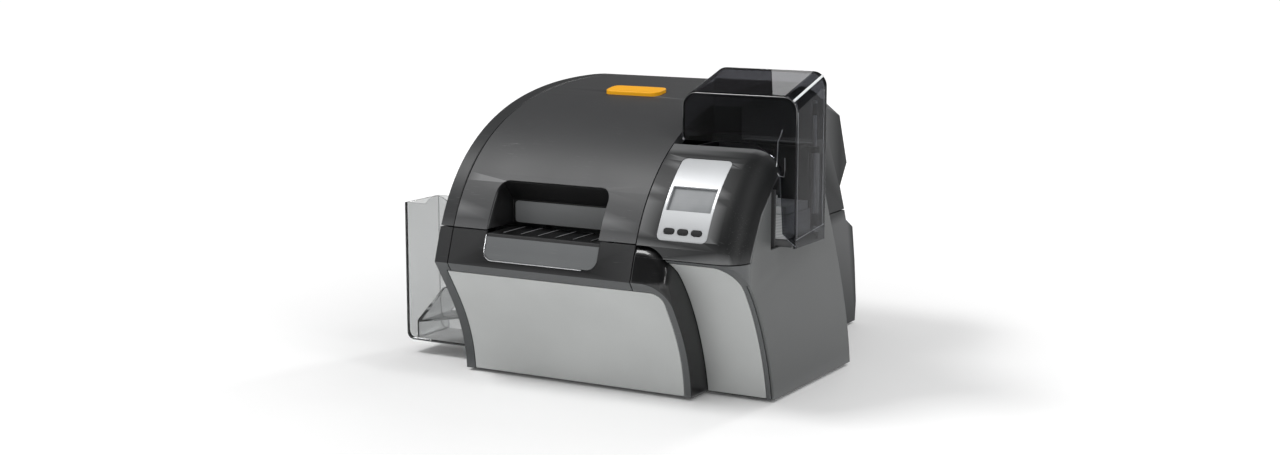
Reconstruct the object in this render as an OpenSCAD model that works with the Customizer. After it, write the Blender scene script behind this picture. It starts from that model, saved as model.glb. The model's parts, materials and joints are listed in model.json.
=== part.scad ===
// Desktop retransfer card printer with a hinged top cover, a drop-down front door,
// a swing-open smoked card hopper on a side tower and a clear output bin at the left.
// Millimetres. x runs to the right, y to the back and z up from the table.
// The working origin is the front right foot corner of the tower; place() then moves
// everything so that the middle of the whole footprint stands on the origin.

/* [Main body] */
// Width of the hinged top cover
cover_w = 217; // [205:1:235]
// Width of the fixed cheek at the left of the cover
cheek_w = 16; // [13:1:20]
// Width of the fixed arch at the right of the front door
arch_w = 40; // [36:1:46]
// Height of the crest of the top cover
crest_h = 297.4; // [290:0.2:320]
// How far the crest lies behind the tower's front foot
crest_back = 211.7; // [195:0.1:225]
// Height of the seam between the top cover and the front door
belt_h = 163; // [160:0.5:166]
// How far the seam stands in front of the tower's front foot
belt_reach = 78; // [74:0.5:84]
// How far the brow, the foremost edge of the front door, lies under that seam
band_drop = 36; // [33:0.5:41]
// How far the brow stands in front of the tower's front foot
band_reach = 90; // [86:0.5:98]
// How far the foot of the front door stands in front of the tower's front foot
door_foot = 34; // [32:0.5:38]
// Depth of the rearmost point of the lower casing behind the tower's front foot
rear_y = 391.5; // [385:0.5:420]
// Height of the parting line round the back and right of the casing
rear_seam_h = 142; // [135:0.5:146]
// Set-back of the rear casing's right side from the tower's side
rear_side_in = 80; // [79:0.5:84]
// Wall of the moulded shells
wall = 3; // [2.4:0.1:3.4]
// Visible gap between neighbouring shells
seam = 1.4; // [1:0.1:2]
// Clearance between pieces that lie behind each other
fit = 0.6; // [0.4:0.1:0.8]

/* [Silver panels] */
// Thickness of the silver front panels
panel_t = 3; // [2:0.1:3.5]
// Plate behind the silver panels
backing_t = 2.6; // [2:0.1:3]
// Width of the grey rim that shows round the silver panels
rim_w = 9; // [7:0.5:11]
// Height of the silver door panel's upper edge
panel_top = 117.5; // [112:0.5:119]
// Corner radius of the silver panels
panel_r = 12; // [8:0.5:16]

/* [Tower] */
// Width of the tower below the belt
tower_w = 75; // [72:1:84]
// How far the tower's belt corner lies under the seam of the top cover
tower_belt_drop = 11.5; // [9:0.5:14]
// Radius of the rounded right shoulder of the control housing
shoulder_r = 25; // [20:1:28]
// Depth of the tower's side at the table
tower_depth = 190; // [180:1:200]
// Radius of the arch's shoulder
arch_r = 30; // [24:1:34]

/* [Control panel] */
// Width of the silver control bezel
bezel_w = 55.5; // [52:0.5:58]
// Length of the control bezel up the slope
bezel_l = 94; // [92:0.5:98]
// Distance from the bezel's right edge to the tower's side
bezel_in = 39; // [36:0.5:42]
// Corner radius of the bezel
bezel_r = 6; // [4:0.5:8]
// Width of the display window
display_w = 49; // [44:0.5:50]
// Height of the display window up the slope
display_h = 27; // [24:0.5:30]
// Length of an oval control button
button_w = 11.5; // [10:0.5:12]
// Height of an oval control button
button_h = 5.6; // [5:0.2:6.4]
// Pitch of the control buttons
button_pitch = 15.2; // [14:0.2:16]
// Travel of a control button
button_travel = 0.8; // [0.5:0.1:1]

/* [Card hopper] */
// How far the smoked cover stands out past the tower's side
hopper_out = 20; // [18:0.5:24]
// Width of the smoked cover
hopper_w = 127; // [125:0.5:130]
// Depth of the smoked cover
hopper_d = 70; // [68:0.5:71]
// Height of the smoked cover's front upper edge
hopper_front_h = 307.5; // [300:0.5:315]
// Height of the smoked cover's rear upper edge
hopper_rear_h = 327.5; // [320:0.5:335]
// Height of the bottom of the side cut-out
cutout_h = 158; // [156:0.5:160]
// Wall of the smoked cover and of the output bin
clear_t = 2.4; // [2:0.1:3]
// Radius of the hinge rod
rod_r = 2.2; // [2:0.1:2.4]

/* [Cards] */
// Length of a card
card_l = 85.6;
// Width of a card
card_w = 54;
// Height of the loaded card stack
stack_h = 24; // [10:1:40]
// Height of the card path's middle plane above the table
path_h = 166.2; // [165:0.1:167]

/* [Output bin] */
// How far the output bin stands out from the left side
bin_out = 102; // [96:1:110]
// Depth of the output bin
bin_d = 64; // [62:0.5:68]
// Height of the bin's floor above the table
bin_floor = 15; // [12:1:20]
// Height of the bin's rim above the table
bin_top = 169; // [160:1:175]

/* [Transport] */
// Radius of a driven transport roller
drive_r = 7; // [6:0.5:8]
// Radius of a pinch roller
pinch_r = 6; // [5:0.5:7]
// Radius of the heated transfer roller
transfer_r = 14; // [12:0.5:15]
// Radius of the backing roller over the transfer roller
backing_r = 10; // [9:0.5:11]
// Radius of a belt pulley
pulley_r = 8; // [7:0.5:9]
// Radius of the roller shafts
shaft_r = 3; // [2.5:0.1:3.2]
// Radial running clearance of a shaft in its bore
run = 0.05; // [0.02:0.01:0.08]
// Radius of a full ribbon or film supply roll
supply_r = 23; // [20:0.5:24]
// Radius of a nearly empty take-up roll
takeup_r = 14; // [12:0.5:20]

/* [Base] */
// Height of the rubber feet
foot_h = 4; // [3.5:0.5:6]
// Radius of a rubber foot
foot_r = 9; // [7:0.5:10]
// Thickness of the steel base pan
pan_t = 2; // [1.5:0.5:3]
// Height of the shells' lower edges above the table
skirt_z = 3; // [2.5:0.5:3.5]

/* [Hidden] */
$fn = 48;
far = 600;

// Heights that follow the seam of the top cover
band_h = belt_h - band_drop;
tower_belt = belt_h - tower_belt_drop;
// Vertical planes of the body, from right to left
x_arch = -tower_w;
x_seam = x_arch - arch_w;
x_cheek = x_seam - cover_w;
x_left = x_cheek - cheek_w;
x_rear_side = -rear_side_in;
bin_gap = 3;
x_bin = x_left - bin_gap - bin_out;
y_mid = (rear_y - band_reach) / 2;
x_mid = (x_bin + hopper_out) / 2;

// A cubic curve from a to d that is pulled towards b and c; the share of it up to stop
function curve(a, b, c, d, n = 16, stop = 1) = [for (i = [0:n]) let (t = stop * i / n)
    pow(1 - t, 3) * a + 3 * t * pow(1 - t, 2) * b + 3 * t * t * (1 - t) * c + pow(t, 3) * d];
// Unit normal to the right of the way from a to b
function side_normal(a, b) = let (t = (b - a) / norm(b - a)) [t[1], -t[0]];
// A line of points moved by d to the right of its own way, with mitred corners
function inset(p, d) = [for (i = [0:len(p) - 1]) let (
    n1 = side_normal(p[max(i - 1, 0)], p[max(i, 1)]),
    n2 = side_normal(p[min(i, len(p) - 2)], p[min(i + 1, len(p) - 1)]), m = n1 + n2)
    p[i] + 2 * d * m / (m * m)];
function reversed(p) = [for (i = [len(p) - 1:-1:0]) p[i]];
function tail(p) = [for (i = [1:len(p) - 1]) p[i]];

// Side outline of the main body, from the front foot over the crest to the rear foot
hood = [342, 247];
low_front = curve([-door_foot, skirt_z], [-door_foot - 4, skirt_z + 52],
    [28 - band_reach, band_h - 42], [-band_reach, band_h]);
belt = [-belt_reach, belt_h];
belt_pull = [38, 97];
cover_front = curve(belt, belt + belt_pull, [crest_back - 155, crest_h],
    [crest_back, crest_h], 28);
cover_rear = curve([crest_back, crest_h], [crest_back + 53, crest_h],
    [hood[0] - 12, crest_h - 2], hood, 14);
rear_line = [[hood[0] + 19, 196], [hood[0] - 4, 171], [hood[0] + 10, rear_seam_h],
    [rear_y - 34, 129], [rear_y - 14.5, 118], [rear_y - 6.5, 77], [rear_y, 26],
    [rear_y - 2.5, skirt_z]];
body_line = concat(low_front, cover_front, tail(cover_rear), rear_line);

// Front outline of the tower: its concave lower front, and the housing's leaning face
tower_low = concat(curve([0, skirt_z], [-8, 50], [-37, 118],
    [-belt_reach - 4, tower_belt]), [[-belt_reach - 36, tower_belt + 24]]);
tower_face = curve(belt, belt + belt_pull, [crest_back - 155, crest_h],
    [crest_back, crest_h], 16, 0.415);
housing_z = tower_belt + fit;
// The face at depth d, drawn on in a straight line down to the housing's lower edge
function face_line(d) = let (p = inset(tower_face, d))
    concat([p[0] - belt_pull * (p[0][1] - housing_z) / belt_pull[1]], p);
// Rear edge of the tower's side, from the table upwards
tower_top = 253;
tower_rear = curve([tower_depth, skirt_z], [tower_depth - 10, 80], [138, 150],
    [90, tower_top + 3]);

// Hopper places
hop_y = 2;
hop_floor = path_h - 0.4;
hop_left = hopper_out - hopper_w;
hop_back = hop_y + hopper_d;
back_wall_y = hop_back + 5.5;
card_y = hop_y + 5;
card_x = 8;
rod_x = 9;
rod_y = hop_back - 6;

// Card transport places: everything turns round axes along y
plate_y = 108;
plate_t = 2.5;
bearing_y = -2;
roll_y = 6;
roll_l = 58;
low_z = path_h - 0.4 - drive_r;
high_z = path_h + 0.4 + pinch_r;
drive_xl = x_cheek + 70;
drive_xr = x_seam - 30;
transfer_x = x_cheek + 110;
transfer_z = path_h - 0.4 - transfer_r;
flip_x = x_cheek + 27;
motor_x = (drive_xl + drive_xr) / 2;
motor_z = 112;
film_x = x_cheek + 36;
ribbon_x = x_seam - 35;
supply_z = 100;
takeup_z = 46;
platen_x = x_cheek + 96;
platen_z = 72;

// Hinge places
door_axis = [-27, 13];
cover_axis = [296, 284.6];
pin_r = 2;
knuckle_r = 4.2;

module place() translate([-x_mid, -y_mid, 0]) children();
// Extrudes a (y, z) outline from x0 to x1
module along_x(x0, x1) translate([x0, 0, 0]) rotate([90, 0, 90])
    linear_extrude(x1 - x0) children();
// Extrudes an (x, z) outline from y0 to y1
module along_y(y0, y1) translate([0, y1, 0]) rotate([90, 0, 0])
    linear_extrude(y1 - y0) children();
// A box from its lowest to its highest corner
module box(a, b) translate(a) cube(b - a);
// A cylinder along y from y0 to y1, round (x, z)
module bar_y(x, z, r, y0, y1) translate([x, y1, z]) rotate([90, 0, 0])
    cylinder(h = y1 - y0, r = r);
// A cylinder along x from x0 to x1, round (y, z)
module bar_x(y, z, r, x0, x1) translate([x0, y, z]) rotate([0, 90, 0])
    cylinder(h = x1 - x0, r = r);
// A rectangle with round corners
module round_rect(a, b, r) {
    translate([a[0] + r, a[1]]) square([b[0] - a[0] - 2 * r, b[1] - a[1]]);
    translate([a[0], a[1] + r]) square([b[0] - a[0], b[1] - a[1] - 2 * r]);
    for (u = [a[0] + r, b[0] - r]) for (v = [a[1] + r, b[1] - r])
        translate([u, v]) circle(r);
}
// The main body's side outline, d inside its outer surface and then open to the table
module body_area(d) polygon(concat(d > 0 ? [[d - door_foot, 0]] : [], inset(body_line, d),
    d > 0 ? [[rear_y - 3 - d, 0]] : []));
// The skin of the main body between two depths
module body_skin(d0, d1) polygon(concat(inset(body_line, d0),
    reversed(inset(body_line, d1))));
// Everything behind the tower's lower front, d inside it
module tower_area(d) polygon(concat([[d, 0]], inset(tower_low, d), [[far, far], [far, 0]]));
// Everything behind the leaning face, d inside it
module face_area(d) polygon(concat([[-far, skirt_z]], inset(tower_face, d),
    [[far, far], [far, skirt_z]]));

// ---- Rounded right shoulder of the control housing ----
// Triangles that join count rings of n points; at the two end rings point i faces n - 1 - i
function skin_faces(count, n) = let (last = (count - 1) * n) concat(
    [for (i = [0:n / 2 - 2]) [i + 1, i, n - 1 - i]],
    [for (i = [0:n / 2 - 2]) [i + 1, n - 1 - i, n - 2 - i]],
    [for (i = [0:n / 2 - 2]) [last + i, last + i + 1, last + n - 1 - i]],
    [for (i = [0:n / 2 - 2]) [last + n - 1 - i, last + i + 1, last + n - 2 - i]],
    [for (k = [0:count - 2]) for (i = [0:n - 1]) let (j = (i + 1) % n)
        [k * n + i, (k + 1) * n + j, (k + 1) * n + i]],
    [for (k = [0:count - 2]) for (i = [0:n - 1]) let (j = (i + 1) % n)
        [k * n + i, k * n + j, (k + 1) * n + j]]);
// Depth of a shoulder surface at x, for a surface that starts d inside the face
function shoulder_depth(x, d) = let (r = shoulder_r - d, u = min((x + shoulder_r) / r, 1))
    x <= -shoulder_r ? d : d + r * (1 - sqrt(1 - u * u));
shoulder_x = [for (a = [0:14:84]) -shoulder_r + shoulder_r * sin(a)];
// Skin of the rounded shoulder, from the face round to the tower's side
module shoulder_skin() {
    rings = [for (x = shoulder_x) [for (p = concat(face_line(shoulder_depth(x, 0)),
        reversed(face_line(shoulder_depth(x, wall))))) [x, p[0], p[1]]]];
    polyhedron([for (r = rings) for (p = r) p], skin_faces(len(rings), len(rings[0])),
        convexity = 6);
}
// Solid of the arch at depth d in front and e at its side and top
module arch_solid(d, e) intersection() {
    along_x(x_seam - far / 20, x_arch - e) body_area(d);
    along_y(-far, far) {
        translate([x_seam - far / 4, 0]) square([far / 4 + arch_w - arch_r, belt_h - seam / 2 - e]);
        translate([x_seam - far / 4, 0]) square([far / 4 + arch_w - e, belt_h - seam / 2 - arch_r]);
        translate([x_arch - arch_r, belt_h - seam / 2 - arch_r]) circle(arch_r - e, $fn = 96);
    }
}
// The silver panels' outlines in (x, z), grown by g
panel_z = skirt_z + 1;
module door_panel_area(g) {
    x1 = x_arch - rim_w;
    translate([x_cheek - rim_w / 2 - g, panel_z - g])
        square([x1 - x_cheek + rim_w / 2 + 2 * g, panel_top - panel_z - panel_r + g]);
    translate([x_cheek - rim_w / 2 - g, panel_z - g])
        square([x1 - x_cheek + rim_w / 2 + g - panel_r, panel_top - panel_z + 2 * g]);
    translate([x1 - panel_r, panel_top - panel_r]) circle(panel_r + g);
}
module tower_panel_area(g) {
    z1 = tower_belt - 4;
    r = 2 * panel_r;
    translate([x_arch - 20, panel_z - g])
        square([tower_w + 20 - rim_w + g, z1 - panel_z - r + g]);
    translate([x_arch - 20, panel_z - g])
        square([tower_w + 20 - rim_w - r, z1 - panel_z + 2 * g]);
    translate([-rim_w - r, z1 - r]) circle(r + g);
}
back_depth = panel_t + fit + backing_t;
// Room behind the door panel's foot, which swings back as the door opens
module foot_sweep() box([x_cheek - rim_w / 2 - fit, -far, -1],
    [x_arch - rim_w + fit, 0, sweep_h]);
sweep_h = 26;

// ---- Outer shells ----
// Where the seam of the left side steps down to the seam round the back
step_y = 300;
module left_lower_panel() color("#3a3c3d") place() difference() {
    union() {
        along_x(x_left, x_left + wall) difference() {
            body_area(0);
            translate([-far, belt_h - seam / 2]) square([2 * far, far]);
            translate([step_y, rear_seam_h - seam / 2]) square([far, far]);
        }
        along_x(x_left, x_cheek - seam / 2) intersection() {
            body_skin(0, back_depth);
            translate([-far, 0]) square([far + 80, belt_h - seam / 2]);
        }
        // Hanging rail for the output bin
        box([x_left - bin_gap + 0.6, hop_y + 4, 100], [x_left, hop_y + bin_d - 4, 142]);
        box([x_left - rail_out, hop_y + 4, 122], [x_left, hop_y + bin_d - 4, 126]);
        box([x_left - rail_out, hop_y + 4, 122], [x_left - rail_out + 2, hop_y + bin_d - 4, 140]);
    }
    intersection() {
        along_x(x_left, x_cheek) body_skin(-1, panel_t + fit);
        along_y(-far, 0) door_panel_area(fit);
    }
    foot_sweep();
    // Card exit, and holes for the case screws
    card_exit();
    for (y = screw_y) bar_x(y, screw_z, screw_r + 0.1, x_left - 1, x_left + wall + 1);
}
rail_out = 6.6;
module card_exit() box([x_left - 10, card_y - 3, path_h - 4],
    [x_left + wall + 1, card_y + card_w + 3, path_h + 4]);
module left_upper_panel() color("#333536") place() {
    difference() {
        along_x(x_left, x_left + wall) difference() {
            body_area(0);
            translate([-far, -far]) square([far + step_y + seam, far + belt_h + seam / 2]);
            translate([-far, -far]) square([2 * far, far + rear_seam_h + seam / 2]);
        }
        card_exit();
    }
    along_x(x_left, x_cheek - seam / 2) difference() {
        body_skin(0, wall);
        translate([-far, -far]) square([far + step_y + seam, far + belt_h + seam / 2]);
        translate([-far, -far]) square([2 * far, far + rear_seam_h + seam / 2]);
    }
    // Tongues that sit behind the lower side
    for (y = [tongue_y, step_y - 2 * tongue_w]) {
        box([x_left + wall, y, belt_h - 14], [x_left + wall + 2, y + tongue_w, belt_h + 12]);
        box([x_left + 1, y, belt_h + 3], [x_left + wall + 2, y + tongue_w, belt_h + 12]);
    }
}
tongue_y = 120;
tongue_w = 20;
module front_arch() color("#141516") place() difference() {
    arch_solid(0, 0);
    arch_solid(back_depth, wall);
    along_x(x_seam - far / 10, x_arch + 1) intersection() {
        tower_area(12);
        face_area(6);
    }
    box([-far, -far, -1], [x_seam + seam / 2, far, far]);
    box([x_seam, -far, -1], [x_arch + 1, far, skirt_z]);
    intersection() {
        along_x(x_seam - 5, x_arch) body_skin(-1, panel_t + fit);
        along_y(-far, 0) door_panel_area(fit);
    }
    foot_sweep();
}
// The tower's front right corner is rounded in plan under the housing
corner_y = belt[0] - 4.5 + shoulder_r;
corner_z = tower_belt - 24.5;
module tower_front_rim() color("#4a4c4e") place() difference() {
    union() {
        along_x(x_arch - 20, -wall - fit) difference() {
            tower_area(0);
            tower_area(back_depth);
            translate([-far, -1]) square([2 * far, skirt_z + 1]);
            translate([-far, tower_belt - fit]) square([2 * far, far]);
        }
        along_x(-shoulder_r - 7, 0) intersection() {
            tower_area(0);
            translate([-far, corner_z + fit])
                square([far + corner_y - fit, tower_belt - 2 * fit - corner_z]);
        }
    }
    linear_extrude(far) difference() {
        translate([-shoulder_r, corner_y - far]) square(far);
        translate([-shoulder_r, corner_y]) circle(shoulder_r, $fn = 96);
        translate([-shoulder_r, corner_y]) square(far);
    }
    arch_solid(-fit, -fit);
    // Seat of the silver panel
    intersection() {
        along_x(-far, 0) difference() {
            tower_area(-1);
            tower_area(panel_t + fit);
        }
        along_y(-far, far) tower_panel_area(fit);
    }
}
module tower_front_panel() color("#a9abac") place() difference() {
    intersection() {
        along_x(x_arch - 20, 0) difference() {
            tower_area(0);
            tower_area(panel_t);
        }
        along_y(-far, far) tower_panel_area(0);
    }
    arch_solid(-fit, -fit);
}
// Side wall, rear wall and top of the tower
module tower_side_cover() color("#4b4c4d") place() {
    along_x(-wall, 0) difference() {
        tower_side_area(0);
        translate([-far, -1]) square([2 * far, skirt_z + 1]);
        translate([cutout_y, cutout_h]) square([hop_back + 8 - cutout_y, far]);
    }
    along_x(x_rear_side + fit, 0) difference() {
        tower_side_area(0);
        tower_side_area(wall);
        translate([-far, -1]) square([far + hop_back + 8, far]);
        translate([-far, -1]) square([2 * far, skirt_z + 1]);
    }
}
cutout_y = -11.5;
module tower_side_area(d) difference() {
    intersection() {
        polygon(concat(inset(tower_low, 0), [[far, far], [far, 0]]));
        polygon(concat([[-far, 0], [-far, corner_z], [corner_y, corner_z],
            [corner_y, housing_z - seam]], face_line(shoulder_r + fit / 2),
            [[far, far], [far, 0]]));
        polygon(concat([[-far, skirt_z]], inset(tower_rear, -d), [[-far, tower_top - d]]));
    }
    translate([-far, tower_top - d]) square([2 * far, far]);
}
module control_housing() color("#55585a") place() {
    difference() {
        along_x(x_seam + seam / 2, -shoulder_r) polygon(concat(face_line(0),
            reversed(face_line(wall))));
        arch_solid(-fit, -fit);
        on_panel() bezel_prism(fit / 2);
    }
    shoulder_skin();
    // Four posts that carry the control board
    intersection() {
        on_panel() for (u = [-1, 1]) for (v = [-1, 1])
            translate([u * (bezel_w / 2 + 3.5), v * (bezel_l / 2 - 8), board_z + 1.6])
                cylinder(h = 40, r = 3);
        along_x(x_seam + 1, -shoulder_r) face_area(wall / 2);
    }
}
// Frame of the control panel: x across, y up the slope, z out of the face
face_low = tower_face[1];
face_high = tower_face[13];
// The bezel's middle lies a little above the middle between these two points
bezel_up = 1.2;
panel_tilt = atan2(face_high[1] - face_low[1], face_high[0] - face_low[0]);
board_z = -9;
module on_panel() translate([-bezel_in - bezel_w / 2, (face_low[0] + face_high[0]) / 2,
    (face_low[1] + face_high[1]) / 2]) rotate([panel_tilt, 0, 0])
    translate([0, bezel_up, 0]) children();
module bezel_prism(g) translate([0, 0, -20]) linear_extrude(60)
    round_rect([-bezel_w / 2 - g, -bezel_l / 2 - g], [bezel_w / 2 + g, bezel_l / 2 + g],
    bezel_r + g);
button_v = -bezel_l / 2 + 9.5;
module button_shape(g) hull_free_slot(button_w + 2 * g, button_h + 2 * g);
module hull_free_slot(w, h) {
    square([w - h, h], center = true);
    for (u = [-1, 1]) translate([u * (w - h) / 2, 0]) circle(h / 2);
}
module control_bezel() color("#d3d5d6") place() difference() {
    intersection() {
        along_x(x_seam, 0) difference() {
            face_area(0.5);
            face_area(wall);
        }
        on_panel() bezel_prism(0);
    }
    on_panel() {
        translate([-display_w / 2, -bezel_l / 2 + 31, -20]) cube([display_w, display_h, 60]);
        for (k = [-1:1]) translate([k * button_pitch, button_v, -20])
            linear_extrude(60) button_shape(fit / 2);
    }
}
glass_z = 0.4;
module display_window() color("#9fa3a5") place() on_panel()
    translate([-display_w / 2 - 1, -bezel_l / 2 + 30, glass_z])
        cube([display_w + 2, display_h + 2, 1.4]);
module control_board() color("#1f4d2e") place() on_panel() {
    translate([-bezel_w / 2 - 7, -bezel_l / 2 + 2, board_z])
        cube([bezel_w + 14, bezel_l - 4, 1.6]);
    // Display module under the glass, and one switch body under each button
    translate([-display_w / 2 - 1, -bezel_l / 2 + 30, board_z + 1.6])
        cube([display_w + 2, display_h + 2, glass_z - board_z - 1.6]);
    for (k = [-1:1]) translate([k * button_pitch, button_v, board_z + 1.6])
        cylinder(h = 3, r = 3);
}
module control_button(k) color("#1b1c1d") place() intersection() {
    on_panel() translate([k * button_pitch, button_v, board_z + 1.6 + 3 + button_travel + 0.3])
        linear_extrude(30) button_shape(0);
    along_x(x_seam, 0) face_area(-0.6);
}
module button_left() control_button(-1);
module button_middle() control_button(0);
module button_right() control_button(1);

// ---- Card hopper ----
module hopper_base() color("#1c1d1e") place() difference() {
    union() {
        box([hop_left + 1, hop_y + 1, hop_floor - 3], [-wall - 0.3, back_wall_y, hop_floor]);
        // Sill that reaches out through the side cut-out
        box([-wall - 1, hop_y + 4, cutout_h + 0.3], [hopper_out - 6, hop_back - 12, hop_floor]);
        // Left, rear and front walls; the front one follows the shoulder down
        box([hop_left + 1, hop_y + 1, hop_floor - 12], [hop_left + 3.4, back_wall_y, 250]);
        box([hop_left + 1, back_wall_y, hop_floor - 22], [-wall - 0.3, back_wall_y + 2.4, 250]);
        box([hop_left + 1, hop_y + 1, hop_floor - 22], [-shoulder_r - 6, hop_y + 3.4, 250]);
        box([-shoulder_r - 6, hop_y + 1, hop_floor - 22], [-wall - 0.3, hop_y + 3.4, 215]);
        // Rib that guides the card weight
        box([-46, back_wall_y - 4, hop_floor], [-40, back_wall_y, 245]);
        // Arms with the eyes of the hinge rod
        for (z = eye_z) {
            box([-8, rod_y - 4, z], [rod_x, rod_y + 4, z + 6]);
            box([-8, rod_y - 4, z], [-wall - 0.3, back_wall_y, z + 6]);
            translate([rod_x, rod_y, z]) cylinder(h = 6, r = 5.5);
        }
    }
    translate([rod_x, rod_y, 0]) cylinder(h = far, r = rod_r + 0.02);
    // Slot for the fed card and hole for the pick roller
    box([hop_left, card_y - 1, hop_floor - 1], [hop_left + 8, card_y + card_w + 1, hop_floor + 2]);
    box([pick_x - 14, card_y + 8, hop_floor - 8], [pick_x + 14, card_y + 46, hop_floor + 1]);
    bar_y(pick_x, pick_z, shaft_r + run, hop_y, back_wall_y + 4);
}
eye_z = [cutout_h + 0.3, 246];
pick_x = -42;
pick_r = 11;
pick_z = hop_floor - pick_r;
module pick_roller() color("#2b2b2b") place() {
    bar_y(pick_x, pick_z, shaft_r, hop_y + 0.5, back_wall_y + 3);
    bar_y(pick_x, pick_z, pick_r, card_y + 10, card_y + 44);
}
module hopper_hinge_rod() color("#8d9093") place()
    translate([rod_x, rod_y, eye_z[0]]) cylinder(h = hopper_rear_h - 29 - eye_z[0], r = rod_r);
// Smoked cover: front, right, rear, left and top walls
hop_open_z = 259;
// Rings of its outer form from front to rear: the round-cornered outline rises to the rear
module hopper_form(d) {
    r = 15;
    x0 = hop_left + d;
    x1 = hopper_out - d;
    rise = hopper_rear_h - hopper_front_h;
    low = hop_open_z - d;
    rings = [for (y = [hop_y + d, hop_back - d]) let (z1 = hopper_front_h - r
        + rise * (y - hop_y) / hopper_d) [for (p = concat([[x1, low]],
        [for (a = [0:10:90]) [x1 + d - r, z1] + (r - d) * [cos(a), sin(a)]],
        [for (a = [90:10:180]) [x0 - d + r, z1] + (r - d) * [cos(a), sin(a)]],
        [[x0, low]])) [p[0], y, p[1]]]];
    polyhedron([for (g = rings) for (p = g) p], skin_faces(2, len(rings[0])), convexity = 4);
}
module hopper_cover() color([0.1, 0.1, 0.11, 0.55]) place() {
    difference() {
        hopper_form(0);
        hopper_form(clear_t);
    }
    // Right wall down to the side cut-out, with returns at its front and rear
    box([hopper_out - clear_t, hop_y, cutout_h], [hopper_out, hop_back, hop_open_z]);
    along_y(hop_y, hop_y + clear_t) polygon([[5.5, 171.5], [hopper_out, cutout_h + 1],
        [hopper_out, hop_open_z], [-shoulder_r, hop_open_z], [-9, 250], [-1.5, 243.5],
        [1.8, 233], [2.5, 222]]);
    box([rod_x + 3, hop_back - clear_t, cutout_h + 12], [hopper_out, hop_back, 244]);
    // Knuckles round the hinge rod
    for (z = [hop_floor + 6.2, hopper_rear_h - 43.5]) difference() {
        union() {
            translate([rod_x, rod_y, z]) cylinder(h = 12, r = 4.4);
            box([rod_x, rod_y - 1, z], [hopper_out - clear_t, rod_y + 1, z + 12]);
        }
        translate([rod_x, rod_y, z - 1]) cylinder(h = 14, r = rod_r + run);
    }
}
module card_stack() color("#eceded") place()
    for (k = [0:stack_h / card_pack - 1])
        box([card_x - card_l, card_y, hop_floor + k * card_pack],
            [card_x - (k % 2) * 0.4, card_y + card_w, hop_floor + (k + 1) * card_pack]);
card_pack = 4;
weight_z = hop_floor + stack_h + 0.3;
module card_weight() color("#b9bcbe") place() {
    box([card_x - card_l + 2, card_y + 2, weight_z], [card_x - 2, card_y + card_w - 2, weight_z + 8]);
    // Fork that runs on the guide rib
    for (x = [-51, -39.6]) box([x, card_y + card_w - 2, weight_z],
        [x + 4.6, back_wall_y - 1, weight_z + 8]);
}

// ---- Front door ----
lip_x0 = x_cheek + 42;
lip_x1 = x_seam - 41;
lip_z0 = band_h + 7;
lip_r = 11;
module lip_area(g) {
    translate([lip_x0 - g, lip_z0 + lip_r]) square([lip_x1 - lip_x0 + 2 * g, far / 10]);
    translate([lip_x0 + lip_r, lip_z0 - g]) square([lip_x1 - lip_x0 - 2 * lip_r, far / 10]);
    for (u = [lip_x0 + lip_r, lip_x1 - lip_r]) translate([u, lip_z0 + lip_r])
        circle(lip_r + g);
}
module front_door() color("#2d2f2f") place() difference() {
    union() {
        difference() {
            along_x(x_cheek + seam / 2, x_seam - seam / 2) intersection() {
                body_skin(0, back_depth);
                translate([-far, skirt_z + 3]) square([far + 60, belt_h - seam / 2 - skirt_z - 3]);
            }
            intersection() {
                along_x(x_cheek, x_seam) body_skin(-1, panel_t + fit);
                along_y(-far, 0) door_panel_area(fit);
            }
            // The shelf lip's opening in the brow
            along_y(-far, 0) lip_area(fit);
            // Thinner wall above the brow
            along_x(x_cheek, x_seam) intersection() {
                body_skin(wall, back_depth + 1);
                translate([-far, band_h + 6]) square([far + 60, far]);
            }
        }
        // Lugs with the eyes of the door hinge
        for (x = door_lug_x) difference() {
            bar_x(door_axis[0], door_axis[1], knuckle_r, x, x + 6);
            bar_x(door_axis[0], door_axis[1], pin_r + run, x - 1, x + 7);
        }
    }
    // Room for the pins and for the pan's hinge posts
    for (x = door_lug_x) bar_x(door_axis[0], door_axis[1], pin_r + run, x - 20, x + 26);
    for (x = post_x) bar_x(door_axis[0], door_axis[1], post_r + 0.5, x - 0.4, x + post_w + 0.4);
}
door_lug_x = [x_cheek + 3, x_seam - 9];
post_x = [door_lug_x[0] + 6.5, door_lug_x[1] - 4.5];
post_w = 4;
post_r = 3.6;
module front_door_panel() color("#adafae") place() intersection() {
    along_x(x_left, x_arch) body_skin(0, panel_t);
    along_y(-far, 0) door_panel_area(0);
}
// Card shelf with its ribs and the textured lip in front
shelf_y = -27.5;
shelf_z = belt_h - 3;
module recess_tray() color("#242526") place() {
    intersection() {
        along_x(lip_x0, lip_x1) intersection() {
            body_skin(0.8, wall + 0.8);
            translate([-far, lip_z0 - 10]) square([far, shelf_z - lip_z0 + 10]);
        }
        along_y(-far, 0) lip_area(0);
    }
    intersection() {
        box([lip_x0, -belt_reach - 2, shelf_z - 2.4], [lip_x1, shelf_y, shelf_z]);
        along_x(lip_x0, lip_x1) body_area(wall);
    }
    for (k = [0:5]) let (x = lip_x0 + 14 + k * rib_pitch)
        box([x, -belt_reach + 8, shelf_z], [x + 1.6, shelf_y, shelf_z + 0.8]);
    // Side webs that carry the shelf on the door
    for (x = [lip_x0, lip_x1 - 2.4]) intersection() {
        box([x, -belt_reach - 6, lip_z0 + lip_r], [x + 2.4, -belt_reach + 22, shelf_z - 2.4]);
        along_x(x, x + 2.4) body_area(wall + 0.8);
    }
}
rib_pitch = (lip_x1 - lip_x0 - 30) / 5;
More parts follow.
